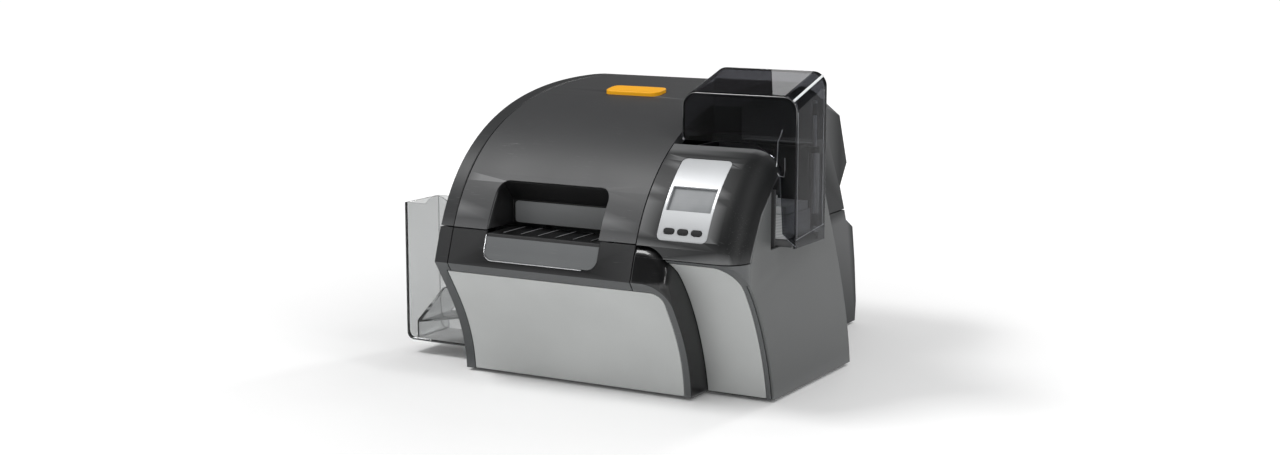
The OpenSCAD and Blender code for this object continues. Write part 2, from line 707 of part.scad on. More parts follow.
// Steel pins of the door hinge and of the cover hinge
pin_l = 16;
module hinge_pins() color("#8d9093") place() {
    for (x = [door_lug_x[0] - 1, door_lug_x[1] + 7 - pin_l])
        bar_x(door_axis[0], door_axis[1], pin_r, x, x + pin_l);
    for (x = cover_pin_x) bar_x(cover_axis[0], cover_axis[1], pin_r, x, x + pin_l);
}
cover_pin_x = [x_cheek + 12, x_seam - 12 - pin_l];

// ---- Top cover ----
window_x0 = x_cheek + 41;
window_x1 = x_seam - 42.5;
window_top = belt_h + 49;
window_r = 12;
cover_end = cover_axis[0];
module window_area(g) {
    translate([window_x0 - g, belt_h - 10]) square([window_x1 - window_x0 + 2 * g,
        window_top - window_r - belt_h + 10]);
    translate([window_x0 + window_r, belt_h - 10]) square([window_x1 - window_x0 - 2 * window_r,
        window_top - belt_h + 10 + g]);
    for (u = [window_x0 + window_r, window_x1 - window_r]) translate([u, window_top - window_r])
        circle(window_r + g);
}
module cover_clip() intersection() {
    translate([-far, belt_h + seam / 2]) square([far + cover_end, far]);
    children();
}
latch_x = [x_cheek + 75, x_cheek + 141];
latch_y = [102, 128];
latch_rise = 4;
latch_travel = 3;
module latch_prism(g) translate([0, 0, belt_h]) linear_extrude(far)
    round_rect([latch_x[0] - g, latch_y[0] - g], [latch_x[1] + g, latch_y[1] + g], 8 + g);
module top_cover() color("#5c5e60") place() {
    difference() {
        along_x(x_cheek + seam / 2, x_seam - seam / 2) cover_clip() body_skin(0, wall);
        along_y(-far, 0) window_area(0);
        latch_prism(fit / 2);
        // Notches for the fixed hinge knuckles
        for (x = cover_pin_x) box([x + 8, cover_axis[0] - knuckle_r - 0.4, cover_axis[1] - 10],
            [x + 15.4, far, far]);
        for (x = cover_pin_x) bar_x(cover_axis[0], cover_axis[1], pin_r + run, x - 0.4,
            x + pin_l + 0.4);
    }
    // Turned-in flanges along both sides
    for (x = [x_cheek + seam / 2, x_seam - seam / 2 - wall]) along_x(x, x + wall)
        cover_clip() body_skin(wall, wall + 8);
    // Well under the latch button
    difference() {
        intersection() {
            latch_prism(fit / 2 + 2);
            along_x(x_cheek, x_seam) body_skin(wall, latch_well + 2);
        }
        intersection() {
            latch_prism(fit / 2);
            along_x(x_cheek, x_seam) difference() {
                body_area(0);
                body_area(latch_well);
            }
        }
    }
    // Hinge knuckles
    for (x = cover_pin_x) difference() {
        union() {
            bar_x(cover_axis[0], cover_axis[1], knuckle_r, x + 1, x + 8);
            along_x(x + 1, x + 8) intersection() {
                body_skin(wall, wall + 7);
                translate([cover_axis[0] - 12, 0]) square([12, far]);
            }
        }
        bar_x(cover_axis[0], cover_axis[1], pin_r + run, x, x + 9);
    }
}
latch_well = 12;
module latch_button() color("#f2a100") place() intersection() {
    latch_prism(0);
    along_x(x_cheek, x_seam) difference() {
        body_area(-latch_rise);
        body_area(latch_well - latch_travel - 1);
    }
}
// Black lining of the card recess: two sides, sloping ceiling and back
recess_y = -27;
liner_t = 2.4;
module recess_area(g) polygon([[-band_reach - 20, belt_h + seam / 2 - 2 * g],
    [recess_y + g, belt_h + seam / 2 - 2 * g], [recess_y + g, belt_h + 26 + 0.6 * g],
    [-49 + 0.4 * g, window_top - 1 + g], [-band_reach - 20, window_top + 2 + g]]);
module recess_liner() color("#101112") place() intersection() {
    along_x(window_x0 - liner_t, window_x1 + liner_t) intersection() {
        body_area(wall);
        translate([-far, belt_h + seam / 2]) square([far, far]);
    }
    difference() {
        along_x(window_x0 - liner_t, window_x1 + liner_t) recess_area(liner_t);
        intersection() {
            along_x(window_x0, window_x1) recess_area(0);
            along_y(-far, 0) window_area(0);
        }
    }
}
module recess_plate() color("#6d7072") place() along_y(recess_y - 1, recess_y)
    round_rect([window_x0 + 3, belt_h + 1.7], [window_x1 - 3, belt_h + 24.5], 4);

// ---- Rear casing ----
hood_start = cover_axis[0] + 5.4;
shoulder_y = back_wall_y + 5;
// Cuts a plane d inside one through the point; it faces turn degrees from the right
// towards the back and leans up by lean degrees
module plane_cut(point, turn, lean, d) translate(point) rotate([0, 0, turn - 90])
    rotate([lean, 0, 0]) translate([-far / 2, -d, -far / 2]) cube(far);
// Flat facet behind the crease of the rear right side, and the chamfer over it
module hood_cut(d) {
    plane_cut([x_rear_side, 315.5, 210], 3, 1.8, d);
    plane_cut([x_rear_side, 340, 250.5], 22.8, 47.7, d);
}
module hood_block(d) difference() {
    along_x(x_left + (d > 0 ? 0 : wall) + fit, x_rear_side - d) intersection() {
        body_area(d);
        translate([shoulder_y + d, rear_seam_h + seam / 2]) square([far, far]);
    }
    box([-far, -far, 0], [x_seam + seam / 2, hood_start, far]);
    hood_cut(d);
}
module rear_upper_shell() color("#3b3c3d") place() difference() {
    union() {
        difference() {
            hood_block(0);
            hood_block(wall);
        }
        // Fixed knuckles of the cover hinge
        for (x = cover_pin_x) {
            bar_x(cover_axis[0], cover_axis[1], knuckle_r, x + 8.4, x + 15);
            along_x(x + 8.4, x + 15) intersection() {
                body_skin(1.5, 9);
                translate([cover_axis[0], 0]) square([12, far]);
            }
        }
    }
    for (x = cover_pin_x) bar_x(cover_axis[0], cover_axis[1], pin_r + 0.01, x, x + pin_l + 1);
    // The left cheek's skin and wall pass outside
    along_x(x_left - 1, x_cheek + fit) difference() {
        body_area(-1);
        body_area(wall + fit / 2);
    }
}
port_x = x_left + 30;
module rear_lower_shell() color("#454647") place() difference() {
    along_x(x_left + wall + fit / 2, x_rear_side) intersection() {
        body_area(0);
        translate([10, 0]) square([far, rear_seam_h - seam / 2]);
    }
    along_x(x_left - 1, x_rear_side - wall) body_area(wall);
    // Open at the front, where the tower and the left side close the body
    box([-far, -far, -1], [x_rear_side - wall, rear_y - 60, far]);
    along_x(-far, 1)
        polygon(concat([[-far, skirt_z - 5]], inset(tower_rear, fit), [[-far, far]]));
    // Openings for the sockets, the switch and the fan
    box([port_x, 300, 24], [port_x + 110, far, 60]);
    bar_y(fan_x, fan_z, 26, 300, far);
}
fan_x = x_seam - 50;
fan_z = 62;

// ---- Base ----
module base_pan() color("#77797b") place() difference() {
    union() {
        box([x_left + wall + 1, -door_foot + 18, foot_h],
            [x_rear_side - 4, rear_y - 12, foot_h + pan_t]);
        box([x_rear_side - 5, 14, foot_h], [-wall - 1, tower_depth - 12, foot_h + pan_t]);
        for (x = post_x) {
            box([x, door_axis[0], door_axis[1] - post_r / 2],
                [x + post_w, -8, door_axis[1] + post_r / 2]);
            box([x, -13, foot_h], [x + post_w, -8, door_axis[1] + post_r / 2]);
            bar_x(door_axis[0], door_axis[1], post_r, x, x + post_w);
        }
        // Tabs behind the left side, one for each case screw
        for (y = screw_y) box([x_left + wall, y - 8, foot_h],
            [x_left + wall + 2, y + 8, screw_z + 8]);
    }
    for (x = post_x) bar_x(door_axis[0], door_axis[1], pin_r + 0.01, x - 1, x + 5);
    for (y = screw_y) bar_x(y, screw_z, screw_r + 0.02, x_left, x_left + 12);
    box([x_left, -far, -1], [0, far, foot_h]);
}
screw_y = [100, 180, 260, 340];
screw_z = 18;
screw_r = 1.6;
foot_places = [[x_left + 24, 14], [x_left + 24, rear_y - 40], [x_rear_side - 24, rear_y - 40],
    [-24, 30], [-24, tower_depth - 40]];
module rubber_feet() color("#161616") place()
    for (p = foot_places) translate([p[0], p[1], 0]) {
        cylinder(h = foot_h - 1, r = foot_r);
        cylinder(h = foot_h, r = foot_r - 2);
    }

// ---- Inner frame ----
frame_x0 = x_left + wall + 6;
frame_x1 = x_rear_side - 6;
frame_top = 236;
module main_frame_plate() color("#8b8e91") place() difference() {
    union() {
        box([frame_x0, plate_y, foot_h + pan_t], [frame_x1, plate_y + plate_t, frame_top]);
        // Stud on which the print head swings
        bar_y(head_pivot[0], head_pivot[1], shaft_r, roll_y - 3, plate_y + 1);
    }
    for (p = shaft_places) bar_y(p[0], p[1], shaft_r + run, plate_y - 1, plate_y + plate_t + 1);
    bar_y(motor_x, motor_z, shaft_r + run, plate_y - 1, plate_y + plate_t + 1);
    // Harness window
    box([x_seam - 70, plate_y - 1, frame_top - 30], [x_seam - 20, plate_y + plate_t + 1, frame_top - 12]);
}
clean_x = x_seam - 3;
clean_r = 9;
clean_z = path_h + 0.4 + clean_r;
shaft_places = [[drive_xl, low_z], [drive_xr, low_z], [drive_xl, high_z], [drive_xr, high_z],
    [transfer_x, transfer_z], [transfer_x, path_h + 0.4 + backing_r], [platen_x, platen_z],
    [film_x, supply_z], [film_x, takeup_z], [ribbon_x, supply_z], [ribbon_x, takeup_z],
    [flip_x, path_h], [clean_x, clean_z]];
tie_places = [[x_cheek + 8, path_h - 24], [x_cheek + 8, path_h + 30],
    [x_seam - 6, path_h + 29]];
tie_r = 3;
module front_bearing_plate() color("#8b8e91") place() difference() {
    box([x_cheek + 2, bearing_y - 2, path_h - 30], [hop_left - 2, bearing_y, path_h + 36]);
    for (p = shaft_places) if (p[1] > 110)
        bar_y(p[0], p[1], shaft_r + run, bearing_y - 3, bearing_y + 1);
    box([x_cheek, bearing_y - 3, path_h - 1.5], [x_cheek + 4, bearing_y + 1, path_h + 1.5]);
}
module tie_rods() color("#a5a8ab") place()
    for (p = tie_places)
        bar_y(p[0], p[1], tie_r, bearing_y, plate_y);

// A roller on its shaft: the sleeve stands clear of both plates
module roller(x, z, r, y0 = bearing_y - 3) {
    bar_y(x, z, shaft_r, y0, plate_y + plate_t + 2);
    bar_y(x, z, r, roll_y, roll_y + roll_l);
}
belt_y = plate_y - 12;
module pulley(x, z) {
    bar_y(x, z, pulley_r, belt_y, belt_y + 6);
    bar_y(x, z, pulley_r + 1.6, belt_y - 1.2, belt_y - 0.3);
}
module drive_roller_left() color("#2a2a2a") place() {
    roller(drive_xl, low_z, drive_r);
    pulley(drive_xl, low_z);
}
module drive_roller_right() color("#2a2a2a") place() {
    roller(drive_xr, low_z, drive_r);
    pulley(drive_xr, low_z);
}
module pinch_roller_left() color("#4b4c4e") place() roller(drive_xl, high_z, pinch_r);
module pinch_roller_right() color("#4b4c4e") place() roller(drive_xr, high_z, pinch_r);
module motor_pulley() color("#b7a05a") place() {
    bar_y(motor_x, motor_z, shaft_r, belt_y - 2, plate_y + plate_t + 1);
    pulley(motor_x, motor_z);
}
belt_t = 1.2;
module belt_area(g) hull() for (p = [[drive_xl, low_z], [drive_xr, low_z], [motor_x, motor_z]])
    translate(p) circle(pulley_r + g, $fn = 32);
module drive_belt() color("#1a1a1a") place() along_y(belt_y + 0.3, belt_y + 5.7) difference() {
    belt_area(0.3 + belt_t);
    belt_area(0.3);
}
module transport_motor() color("#2f3133") place() {
    bar_y(motor_x, motor_z, 18, plate_y + plate_t + 1.6, plate_y + plate_t + 40);
    for (x = [-1, 1]) bar_y(motor_x + x * 14, motor_z, 2.5, plate_y + plate_t,
        plate_y + plate_t + 1.6);
}
module transfer_roller() color("#b9bcbf") place() roller(transfer_x, transfer_z, transfer_r);
module backing_roller() color("#3a3b3c") place()
    roller(transfer_x, path_h + 0.4 + backing_r, backing_r);
module platen_roller() color("#2a2a2a") place() {
    bar_y(platen_x, platen_z, shaft_r, roll_y - 4, plate_y + plate_t + 2);
    bar_y(platen_x, platen_z, 10, roll_y, roll_y + roll_l);
}
// Print head on its arm, which swings on a stud of the frame plate
head_pivot = [platen_x + 34, platen_z + 26];
module print_head() color("#c9cacb") place() difference() {
    union() {
        box([platen_x + 10.4, roll_y, platen_z - 8], [platen_x + 15, roll_y + roll_l, platen_z + 8]);
        box([platen_x + 15, roll_y, platen_z - 3], [head_pivot[0] + 2, roll_y + roll_l, platen_z + 1]);
        box([head_pivot[0] - 2, roll_y, platen_z - 3], [head_pivot[0] + 2, roll_y + roll_l, head_pivot[1]]);
        bar_y(head_pivot[0], head_pivot[1], 6, roll_y, roll_y + roll_l);
    }
    bar_y(head_pivot[0], head_pivot[1], shaft_r + run, roll_y - 1, roll_y + roll_l + 1);
}
// A roll of film or ribbon on its flanged core and spindle
module spool(x, z, r) {
    bar_y(x, z, shaft_r, roll_y - 6, plate_y + plate_t + 2);
    bar_y(x, z, 8, roll_y - 3, roll_y + roll_l + 3);
    bar_y(x, z, r, roll_y, roll_y + roll_l);
    for (y = [roll_y - 2, roll_y + roll_l + 0.4]) bar_y(x, z, min(r, supply_r) + 2, y, y + 1.6);
}
module film_supply_spool() color("#5b6a86") place() spool(film_x, supply_z, supply_r);
module film_takeup_spool() color("#5b6a86") place() spool(film_x, takeup_z, takeup_r);
module ribbon_supply_spool() color("#7a4b63") place() spool(ribbon_x, supply_z, supply_r);
module ribbon_takeup_spool() color("#7a4b63") place() spool(ribbon_x, takeup_z, takeup_r);
module cleaning_roller() color("#c77fa0") place() roller(clean_x, clean_z, clean_r);
// Card flipper: a short carriage that turns about its own shaft
module flipper() color("#3d4043") place() difference() {
    union() {
        bar_y(flip_x, path_h, shaft_r, roll_y + roll_l + 3, plate_y + plate_t + 2);
        bar_y(flip_x, path_h, 12, roll_y + roll_l, roll_y + roll_l + 3);
        for (z = [-1, 1]) box([flip_x - 20, roll_y - 1, path_h + z * 5 - 3.4],
            [flip_x + 20, roll_y + roll_l, path_h + z * 5 + 3.4]);
        box([flip_x - 20, roll_y - 3, path_h - 8.4], [flip_x + 20, roll_y - 1, path_h + 8.4]);
    }
}

// ---- Electronics and rear sockets ----
module main_board() color("#1f5a34") place() {
    box([x_left + 22, plate_y + 16, 18], [x_left + 122, plate_y + 17.6, 128]);
    for (x = [x_left + 30, x_left + 114]) for (z = [28, 118]) bar_y(x, z, 3, plate_y + plate_t,
        plate_y + 16);
    for (k = [0:3]) box([x_left + 34 + 20 * k, plate_y + 17.6, 40],
        [x_left + 46 + 20 * k, plate_y + 20, 54]);
    box([x_left + 40, plate_y + 17.6, 92], [x_left + 70, plate_y + 27, 104]);
}
module power_supply() color("#9a9c9e") place()
    box([port_x - 6, 214, foot_h + pan_t], [port_x + 90, rear_y - 62, 56]);
module fan_housing() color("#191a1b") place() {
    difference() {
        box([fan_x - 30, fan_y, fan_z - 30], [fan_x + 30, fan_y + 15, fan_z + 30]);
        bar_y(fan_x, fan_z, 28, fan_y + 1.6, fan_y + 16);
        for (a = [0:90:270]) translate([fan_x, 0, fan_z]) rotate([0, a, 0])
            box([4, fan_y - 1, 4], [17, fan_y + 2, 17]);
        bar_y(fan_x, fan_z, 1.5 + run, fan_y - 1, fan_y + 4);
    }
    // Stand on the pan
    box([fan_x - 30, fan_y + 2, foot_h + pan_t], [fan_x + 30, fan_y + 12, fan_z - 29]);
}
fan_y = rear_y - 32;
module fan_rotor() color("#242526") place() {
    bar_y(fan_x, fan_z, 1.5, fan_y + 0.2, fan_y + 4);
    bar_y(fan_x, fan_z, 9, fan_y + 3, fan_y + 13);
    for (k = [0:6]) translate([fan_x, 0, fan_z]) rotate([0, k * 360 / 7, 0])
        translate([8, fan_y + 8, 0]) rotate([35, 0, 0]) translate([0, -5, -0.7]) cube([17, 9, 1.4]);
}
socket_y = rear_y - 8.4;
switch_axis = [socket_y - 4, 39];
module rear_connectors() color("#2b2c2d") place() difference() {
    box([port_x - 4, socket_y - 12, foot_h + pan_t], [port_x + 116, socket_y, 64]);
    // Mains inlet, the switch's hole, network socket and two data sockets
    box([port_x + 8, socket_y - 10, 30], [port_x + 32, rear_y, 48]);
    box([port_x + 40, socket_y - 10, 28], [port_x + 58, rear_y, 50]);
    box([port_x + 66, socket_y - 10, 30], [port_x + 80, rear_y, 42]);
    box([port_x + 88, socket_y - 10, 30], [port_x + 98, rear_y, 40]);
    bar_x(switch_axis[0], switch_axis[1], 1 + run, port_x + 38, port_x + 60);
}
module power_switch() color("#0e0e0e") place() {
    difference() {
        box([port_x + 40.6, socket_y - 7, 30], [port_x + 57.4, socket_y + 2, 48]);
        for (a = [-switch_tilt, switch_tilt]) translate([0, socket_y + 1, switch_axis[1]])
            rotate([-a, 0, 0]) box([port_x, 0, -10 + sign(a) * 10],
                [port_x + 80, 8, 10 + sign(a) * 10]);
    }
    bar_x(switch_axis[0], switch_axis[1], 1, port_x + 39, port_x + 59);
}
switch_tilt = 6;

// ---- Output bin ----
module bin_area(d) {
    r = 9;
    x0 = x_bin + d;
    x1 = x_left - bin_gap;
    translate([x0, bin_floor + d + r]) square([x1 - x0, bin_top - bin_floor]);
    translate([x0 + r, bin_floor + d]) square([x1 - x0 - r, bin_top - bin_floor]);
    translate([x0 + r, bin_floor + d + r]) circle(r);
}
bin_wall_x = x_left - rail_out - 3;
module output_bin() color([0.8, 0.82, 0.83, 0.5]) place() difference() {
    union() {
        difference() {
            along_y(hop_y, hop_y + bin_d) bin_area(0);
            along_y(hop_y + clear_t, hop_y + bin_d - clear_t) bin_area(clear_t);
        }
        // Right wall below the rail, and the tongue that hangs in it
        box([bin_wall_x - clear_t, hop_y, bin_floor], [bin_wall_x, hop_y + bin_d, 118]);
        box([x_left - bin_gap - 1.4, hop_y, 126.3], [x_left - bin_gap, hop_y + bin_d, 150]);
        translate([x_bin + 44, hop_y + clear_t, bin_top - 8]) rotate([90, 0, 0])
            cylinder(h = clear_t, r = 18);
    }
    box([-far, -far, bin_top + 9.5], [0, far, far]);
    box([bin_wall_x, -far, 0], [0, far, 118]);
    translate([0, 0, bin_top]) box([-far, hop_y + clear_t, 0], [0, far, far / 2]);
    difference() {
        box([-far, -far, bin_top], [0, far, far]);
        translate([x_bin + 44, hop_y + clear_t + 1, bin_top - 8]) rotate([90, 0, 0])
            cylinder(h = clear_t + 2, r = 18);
    }
}
module bin_ramp() color("#c4c6c7") place() {
    y0 = hop_y + clear_t + 0.4;
    y1 = hop_y + bin_d - clear_t - 0.4;
    x0 = x_bin + clear_t + 0.4;
    x1 = bin_wall_x - clear_t - 0.4;
    z0 = bin_floor + clear_t;
    along_y(y0, y1) polygon([[x0 + 10, z0], [x0 + 12, z0], [x0 + 12, z0 + 17.9],
        [x1 - 2, z0 + 31], [x1 - 2, z0], [x1, z0], [x1, z0 + 33.5], [x0 + 16, z0 + 20.9],
        [x0 + 48, z0 + 60], [x0 + 45, z0 + 60], [x0 + 10, z0 + 20]]);
}
module case_screws() color("#3c3e40") place() for (y = screw_y) {
    bar_x(y, screw_z, screw_r, x_left - 1, x_left + 9);
    bar_x(y, screw_z, screw_r * 2, x_left - 1.6, x_left);
}

base_pan();
rubber_feet();
left_lower_panel();
left_upper_panel();
front_arch();
tower_front_rim();
tower_front_panel();
tower_side_cover();
control_housing();
control_bezel();
display_window();
control_board();
button_left();
button_middle();
button_right();
hopper_base();
hopper_hinge_rod();
hopper_cover();
card_stack();
card_weight();
pick_roller();
front_door();
front_door_panel();
recess_tray();
hinge_pins();
top_cover();
recess_liner();
recess_plate();
latch_button();
rear_upper_shell();
rear_lower_shell();
main_frame_plate();
front_bearing_plate();
tie_rods();
drive_roller_left();
drive_roller_right();
pinch_roller_left();
pinch_roller_right();
drive_belt();
transport_motor();
motor_pulley();
transfer_roller();
backing_roller();
platen_roller();
print_head();
film_supply_spool();
film_takeup_spool();
ribbon_supply_spool();
ribbon_takeup_spool();
cleaning_roller();
flipper();
main_board();
power_supply();
fan_housing();
fan_rotor();
rear_connectors();
power_switch();
output_bin();
bin_ramp();
case_screws();
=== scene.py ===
"""Looks of a desktop card printer: satin grey shells, silver front panels, a smoked card
hopper, an amber latch and a clear output bin, on a pale studio floor.

Places and sizes without a unit in their name, and those named *_mm, are millimetres in the
construction frame of the part, whose origin is the front right foot corner of the tower;
at_mm() turns them into metres of the shared frame. Names that end in _M are metres."""
import json
import math

import bmesh
import bpy
import numpy as np
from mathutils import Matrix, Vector


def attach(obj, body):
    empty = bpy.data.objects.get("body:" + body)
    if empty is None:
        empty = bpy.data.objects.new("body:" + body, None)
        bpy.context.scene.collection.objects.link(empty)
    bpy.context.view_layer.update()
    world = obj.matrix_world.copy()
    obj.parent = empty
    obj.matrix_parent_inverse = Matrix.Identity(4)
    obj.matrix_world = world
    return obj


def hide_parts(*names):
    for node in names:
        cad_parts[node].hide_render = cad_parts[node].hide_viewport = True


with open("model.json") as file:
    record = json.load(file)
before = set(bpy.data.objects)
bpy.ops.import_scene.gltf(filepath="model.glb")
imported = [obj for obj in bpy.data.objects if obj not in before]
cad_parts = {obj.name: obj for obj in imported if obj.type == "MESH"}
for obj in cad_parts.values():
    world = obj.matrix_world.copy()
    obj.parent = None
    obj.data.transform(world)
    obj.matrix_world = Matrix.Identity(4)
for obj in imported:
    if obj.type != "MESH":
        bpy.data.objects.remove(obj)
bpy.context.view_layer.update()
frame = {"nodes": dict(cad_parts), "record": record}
nodes = frame["nodes"]
body_of_node = {n: b for b, ns in frame["record"]["behaviour"]["bodies"].items() for n in ns}

MM = 0.001
X_SHIFT_MM = 216.5
Y_SHIFT_MM = -150.75


def at_mm(points):
    """Points of the construction frame in mm -> metres of the shared frame."""
    points = np.asarray(points, float)
    return (points + np.array([X_SHIFT_MM, Y_SHIFT_MM, 0.0])) * MM


# ---------------------------------------------------------------- driving places of the part
X_ARCH = -75.0          # right side of the arch
X_SEAM = -115.0         # seam between the cover and the housing
SEAM = 1.4
BELT_Z = 163.0
FOOT_Z = 3.0            # lower end of the skins, over the feet
BAND_Z = 126.9          # where the dark band of the door starts, over its grey rim
COVER_X = (-107.0, 20.0)        # hopper cover: its sides
COVER_Y = (2.0, 72.0)           # its front and back
COVER_TOP = (307.5, 327.5)      # its top there
COVER_LOW = (166.0, 173.0)      # foot of its right wall there
COVER_FOOT_Z = 260.0            # foot of its left wall
COVER_R = 15.0
BIN_X = (-451.9, -359.0)        # output bin: its left side and where its floor ends
BIN_Y = (3.0, 65.0)
BIN_Z = (16.0, 168.0)           # its floor and its rim
BIN_R = 9.0
SHELF_X = -290.0                # left end of the card shelf


def bezier(a, b, c, d, t):
    """Cubic curve from a to d pulled towards b and c, at the shares t."""
    a, b, c, d = (np.array(p, float) for p in (a, b, c, d))
    t = np.asarray(t, float)[:, None]
    return (1 - t) ** 3 * a + 3 * t * (1 - t) ** 2 * b + 3 * t * t * (1 - t) * c + t ** 3 * d


# ---------------------------------------------------------------- shader nodes and finish groups
MIX_SHARE, MIX_A, MIX_B, MIX_OUT = 0, 6, 7, 2       # sockets of a Mix node set to colour
MIDDLE = (0.3, 0.7)         # the span in which most of a noise lies
FULL = (0.0, 1.0)
COAT_ROUGH = 0.08
CARD_M = 0.00076            # thickness of a card
TURNS_PER_M = 2500.0        # turns of film or ribbon


def fill(tree, made, inputs):
    """A node's inputs, each linked to a socket or given a plain value."""
    for key, value in inputs.items():
        if isinstance(value, bpy.types.NodeSocket):
            tree.links.new(value, made.inputs[key])
        else:
            made.inputs[key].default_value = value


def node(tree, kind, inputs=None, **values):
    """A shader node with its properties set and its inputs linked or filled in."""
    made = tree.nodes.new(kind)
    for key, value in values.items():
        setattr(made, key, value)
    fill(tree, made, inputs or {})
    return made


def object_place(tree):
    """Object coordinates in metres."""
    return node(tree, "ShaderNodeTexCoord").outputs["Object"]


def mix_colour(tree, share, a, b):
    """The colour a turned towards b by a share; a plain colour may stand for either."""
    return node(tree, "ShaderNodeMix", {MIX_SHARE: share, MIX_A: a, MIX_B: b},
                data_type="RGBA").outputs[MIX_OUT]


def worked(tree, operation, *values):
    """One operation of arithmetic on two or three values."""
    return node(tree, "ShaderNodeMath", dict(enumerate(values)), operation=operation).outputs[0]


def noise(tree, place, scale, detail=2.0, rough=0.5):
    """Fractal noise of a coordinate; the scale is in waves to the metre."""
    return node(tree, "ShaderNodeTexNoise", {"Vector": place, "Scale": scale, "Detail": detail,
                                            "Roughness": rough}).outputs["Fac"]


def ranged(tree, value, span, onto):
    """The value carried from one span onto another and held there."""
    return node(tree, "ShaderNodeMapRange", {
        "Value": value, "From Min": span[0], "From Max": span[1],
        "To Min": onto[0], "To Max": onto[1]}).outputs[0]


def toned(tree, colour, place, scale, detail, onto):
    """A colour made cloudily lighter and darker between two factors; returns the factor too."""
    shade = ranged(tree, noise(tree, place, scale, detail), MIDDLE, onto)
    made = node(tree, "ShaderNodeVectorMath", {0: colour, "Scale": shade}, operation="SCALE")
    return made.outputs[0], shade


def raised(tree, height, strength, distance_m):
    """The normal of a surface that a height of 0 to 1 raises by a distance."""
    return node(tree, "ShaderNodeBump", {"Height": height, "Strength": strength,
                                        "Distance": distance_m}).outputs[0]


def new_group(name, inputs):
    """An empty group with named inputs and a finish's three outputs; returns the group, the
    sockets that its inputs arrive on and its output node."""
    group = bpy.data.node_groups.new(name, "ShaderNodeTree")
    for label, kind, value in inputs:
        socket = group.interface.new_socket(label, in_out="INPUT", socket_type=kind)
        socket.default_value = value
    for label, kind in (("Colour", "NodeSocketColor"), ("Roughness", "NodeSocketFloat"),
                        ("Normal", "NodeSocketVector")):
        group.interface.new_socket(label, in_out="OUTPUT", socket_type=kind)
    return group, group.nodes.new("NodeGroupInput").outputs, group.nodes.new("NodeGroupOutput")


def moulded_group():
    """Moulded or painted plastic: spark-eroded grain as bump, soft cloudy gloss, faint rub marks
    and slightly lighter edges."""
    group, given, out_node = new_group(
        "moulded_finish",
        [("Colour", "NodeSocketColor", (0.5, 0.5, 0.5, 1)), ("Roughness", "NodeSocketFloat", 0.4),
         ("Grain per metre", "NodeSocketFloat", 2500.0), ("Grain depth", "NodeSocketFloat", 0.1),
         ("Edge wear", "NodeSocketFloat", 0.15), ("Rub marks", "NodeSocketFloat", 0.3)])
    place = object_place(group)
    colour, shade = toned(group, given["Colour"], place, 9.0, 3.0, (0.94, 1.06))
    stretched = node(group, "ShaderNodeMapping", {"Vector": place, "Rotation": (0.4, 0.7, 0.3),
                                                 "Scale": (60.0, 1400.0, 900.0)}).outputs[0]
    rub = ranged(group, noise(group, stretched, 1.0, 3.0, 0.6), (0.62, 0.78), FULL)
    patchy = ranged(group, noise(group, place, 22.0), (0.5, 0.7), FULL)
    rubbed = worked(group, "MULTIPLY", worked(group, "MULTIPLY", rub, patchy), given["Rub marks"])
    edge = ranged(group, node(group, "ShaderNodeNewGeometry").outputs["Pointiness"],
                  (0.52, 0.62), FULL)
    worn = worked(group, "MULTIPLY", edge, given["Edge wear"])
    colour = mix_colour(group, worn, colour, (0.75, 0.76, 0.77, 1))
    clouded = worked(group, "MULTIPLY", given["Roughness"], shade)
    grain = noise(group, place, given["Grain per metre"], 1.0)
    fill(group, out_node, {
        "Colour": mix_colour(group, rubbed, colour, (0.5, 0.5, 0.5, 1)),
        "Roughness": worked(group, "MULTIPLY_ADD", rubbed, 0.25, clouded),
        "Normal": raised(group, grain, given["Grain depth"], 0.0004)})
    return group


def metal_group():
    """Rolled or drawn metal: fine lines along one direction, cloudy tone and dull spots."""
    group, given, out_node = new_group(
        "rolled_metal",
        [("Colour", "NodeSocketColor", (0.6, 0.6, 0.6, 1)), ("Roughness", "NodeSocketFloat", 0.35),
         ("Lines", "NodeSocketVector", (40.0, 2500.0, 2500.0)),
         ("Line depth", "NodeSocketFloat", 0.15)])
    place = object_place(group)
    drawn = node(group, "ShaderNodeMapping", {"Vector": place, "Scale": given["Lines"]})
    lines = noise(group, drawn.outputs[0], 1.0, 2.0, 0.6)
    colour, _ = toned(group, given["Colour"], place, 18.0, 4.0, (0.85, 1.1))
    fill(group, out_node, {
        "Colour": mix_colour(group, ranged(group, lines, (0.4, 0.7), (0.0, 0.18)), colour,
                             (0.12, 0.12, 0.13, 1)),
        "Roughness": worked(group, "MULTIPLY_ADD", lines, 0.2, given["Roughness"]),
        "Normal": raised(group, lines, given["Line depth"], 0.0003)})
    return group


MOULDED = moulded_group()
METAL = metal_group()


# ---------------------------------------------------------------- materials
def linear(grey_or_rgb):
    """A display colour (0 to 255 each) as the linear colour that a shader takes."""
    rgb = np.broadcast_to(np.asarray(grey_or_rgb, float) / 255.0, (3,))
    low = rgb / 12.92
    high = ((rgb + 0.055) / 1.055) ** 2.4
    return tuple(float(v) for v in np.where(rgb <= 0.04045, low, high)) + (1.0,)


def start_material(name):
    """A new material with its tree, its Principled shader and its object coordinates."""
    made = bpy.data.materials.new(name)
    made.use_nodes = True
    tree = made.node_tree
    return made, tree, tree.nodes["Principled BSDF"], object_place(tree)


def use_group(tree, shader, group, inputs):
    """The finish group in a material, joined to the shader's colour, roughness and normal."""
    made = node(tree, "ShaderNodeGroup", node_tree=group)
    fill(tree, made, inputs)
    fill(tree, shader, {"Base Color": made.outputs["Colour"],
                        "Roughness": made.outputs["Roughness"],
                        "Normal": made.outputs["Normal"]})


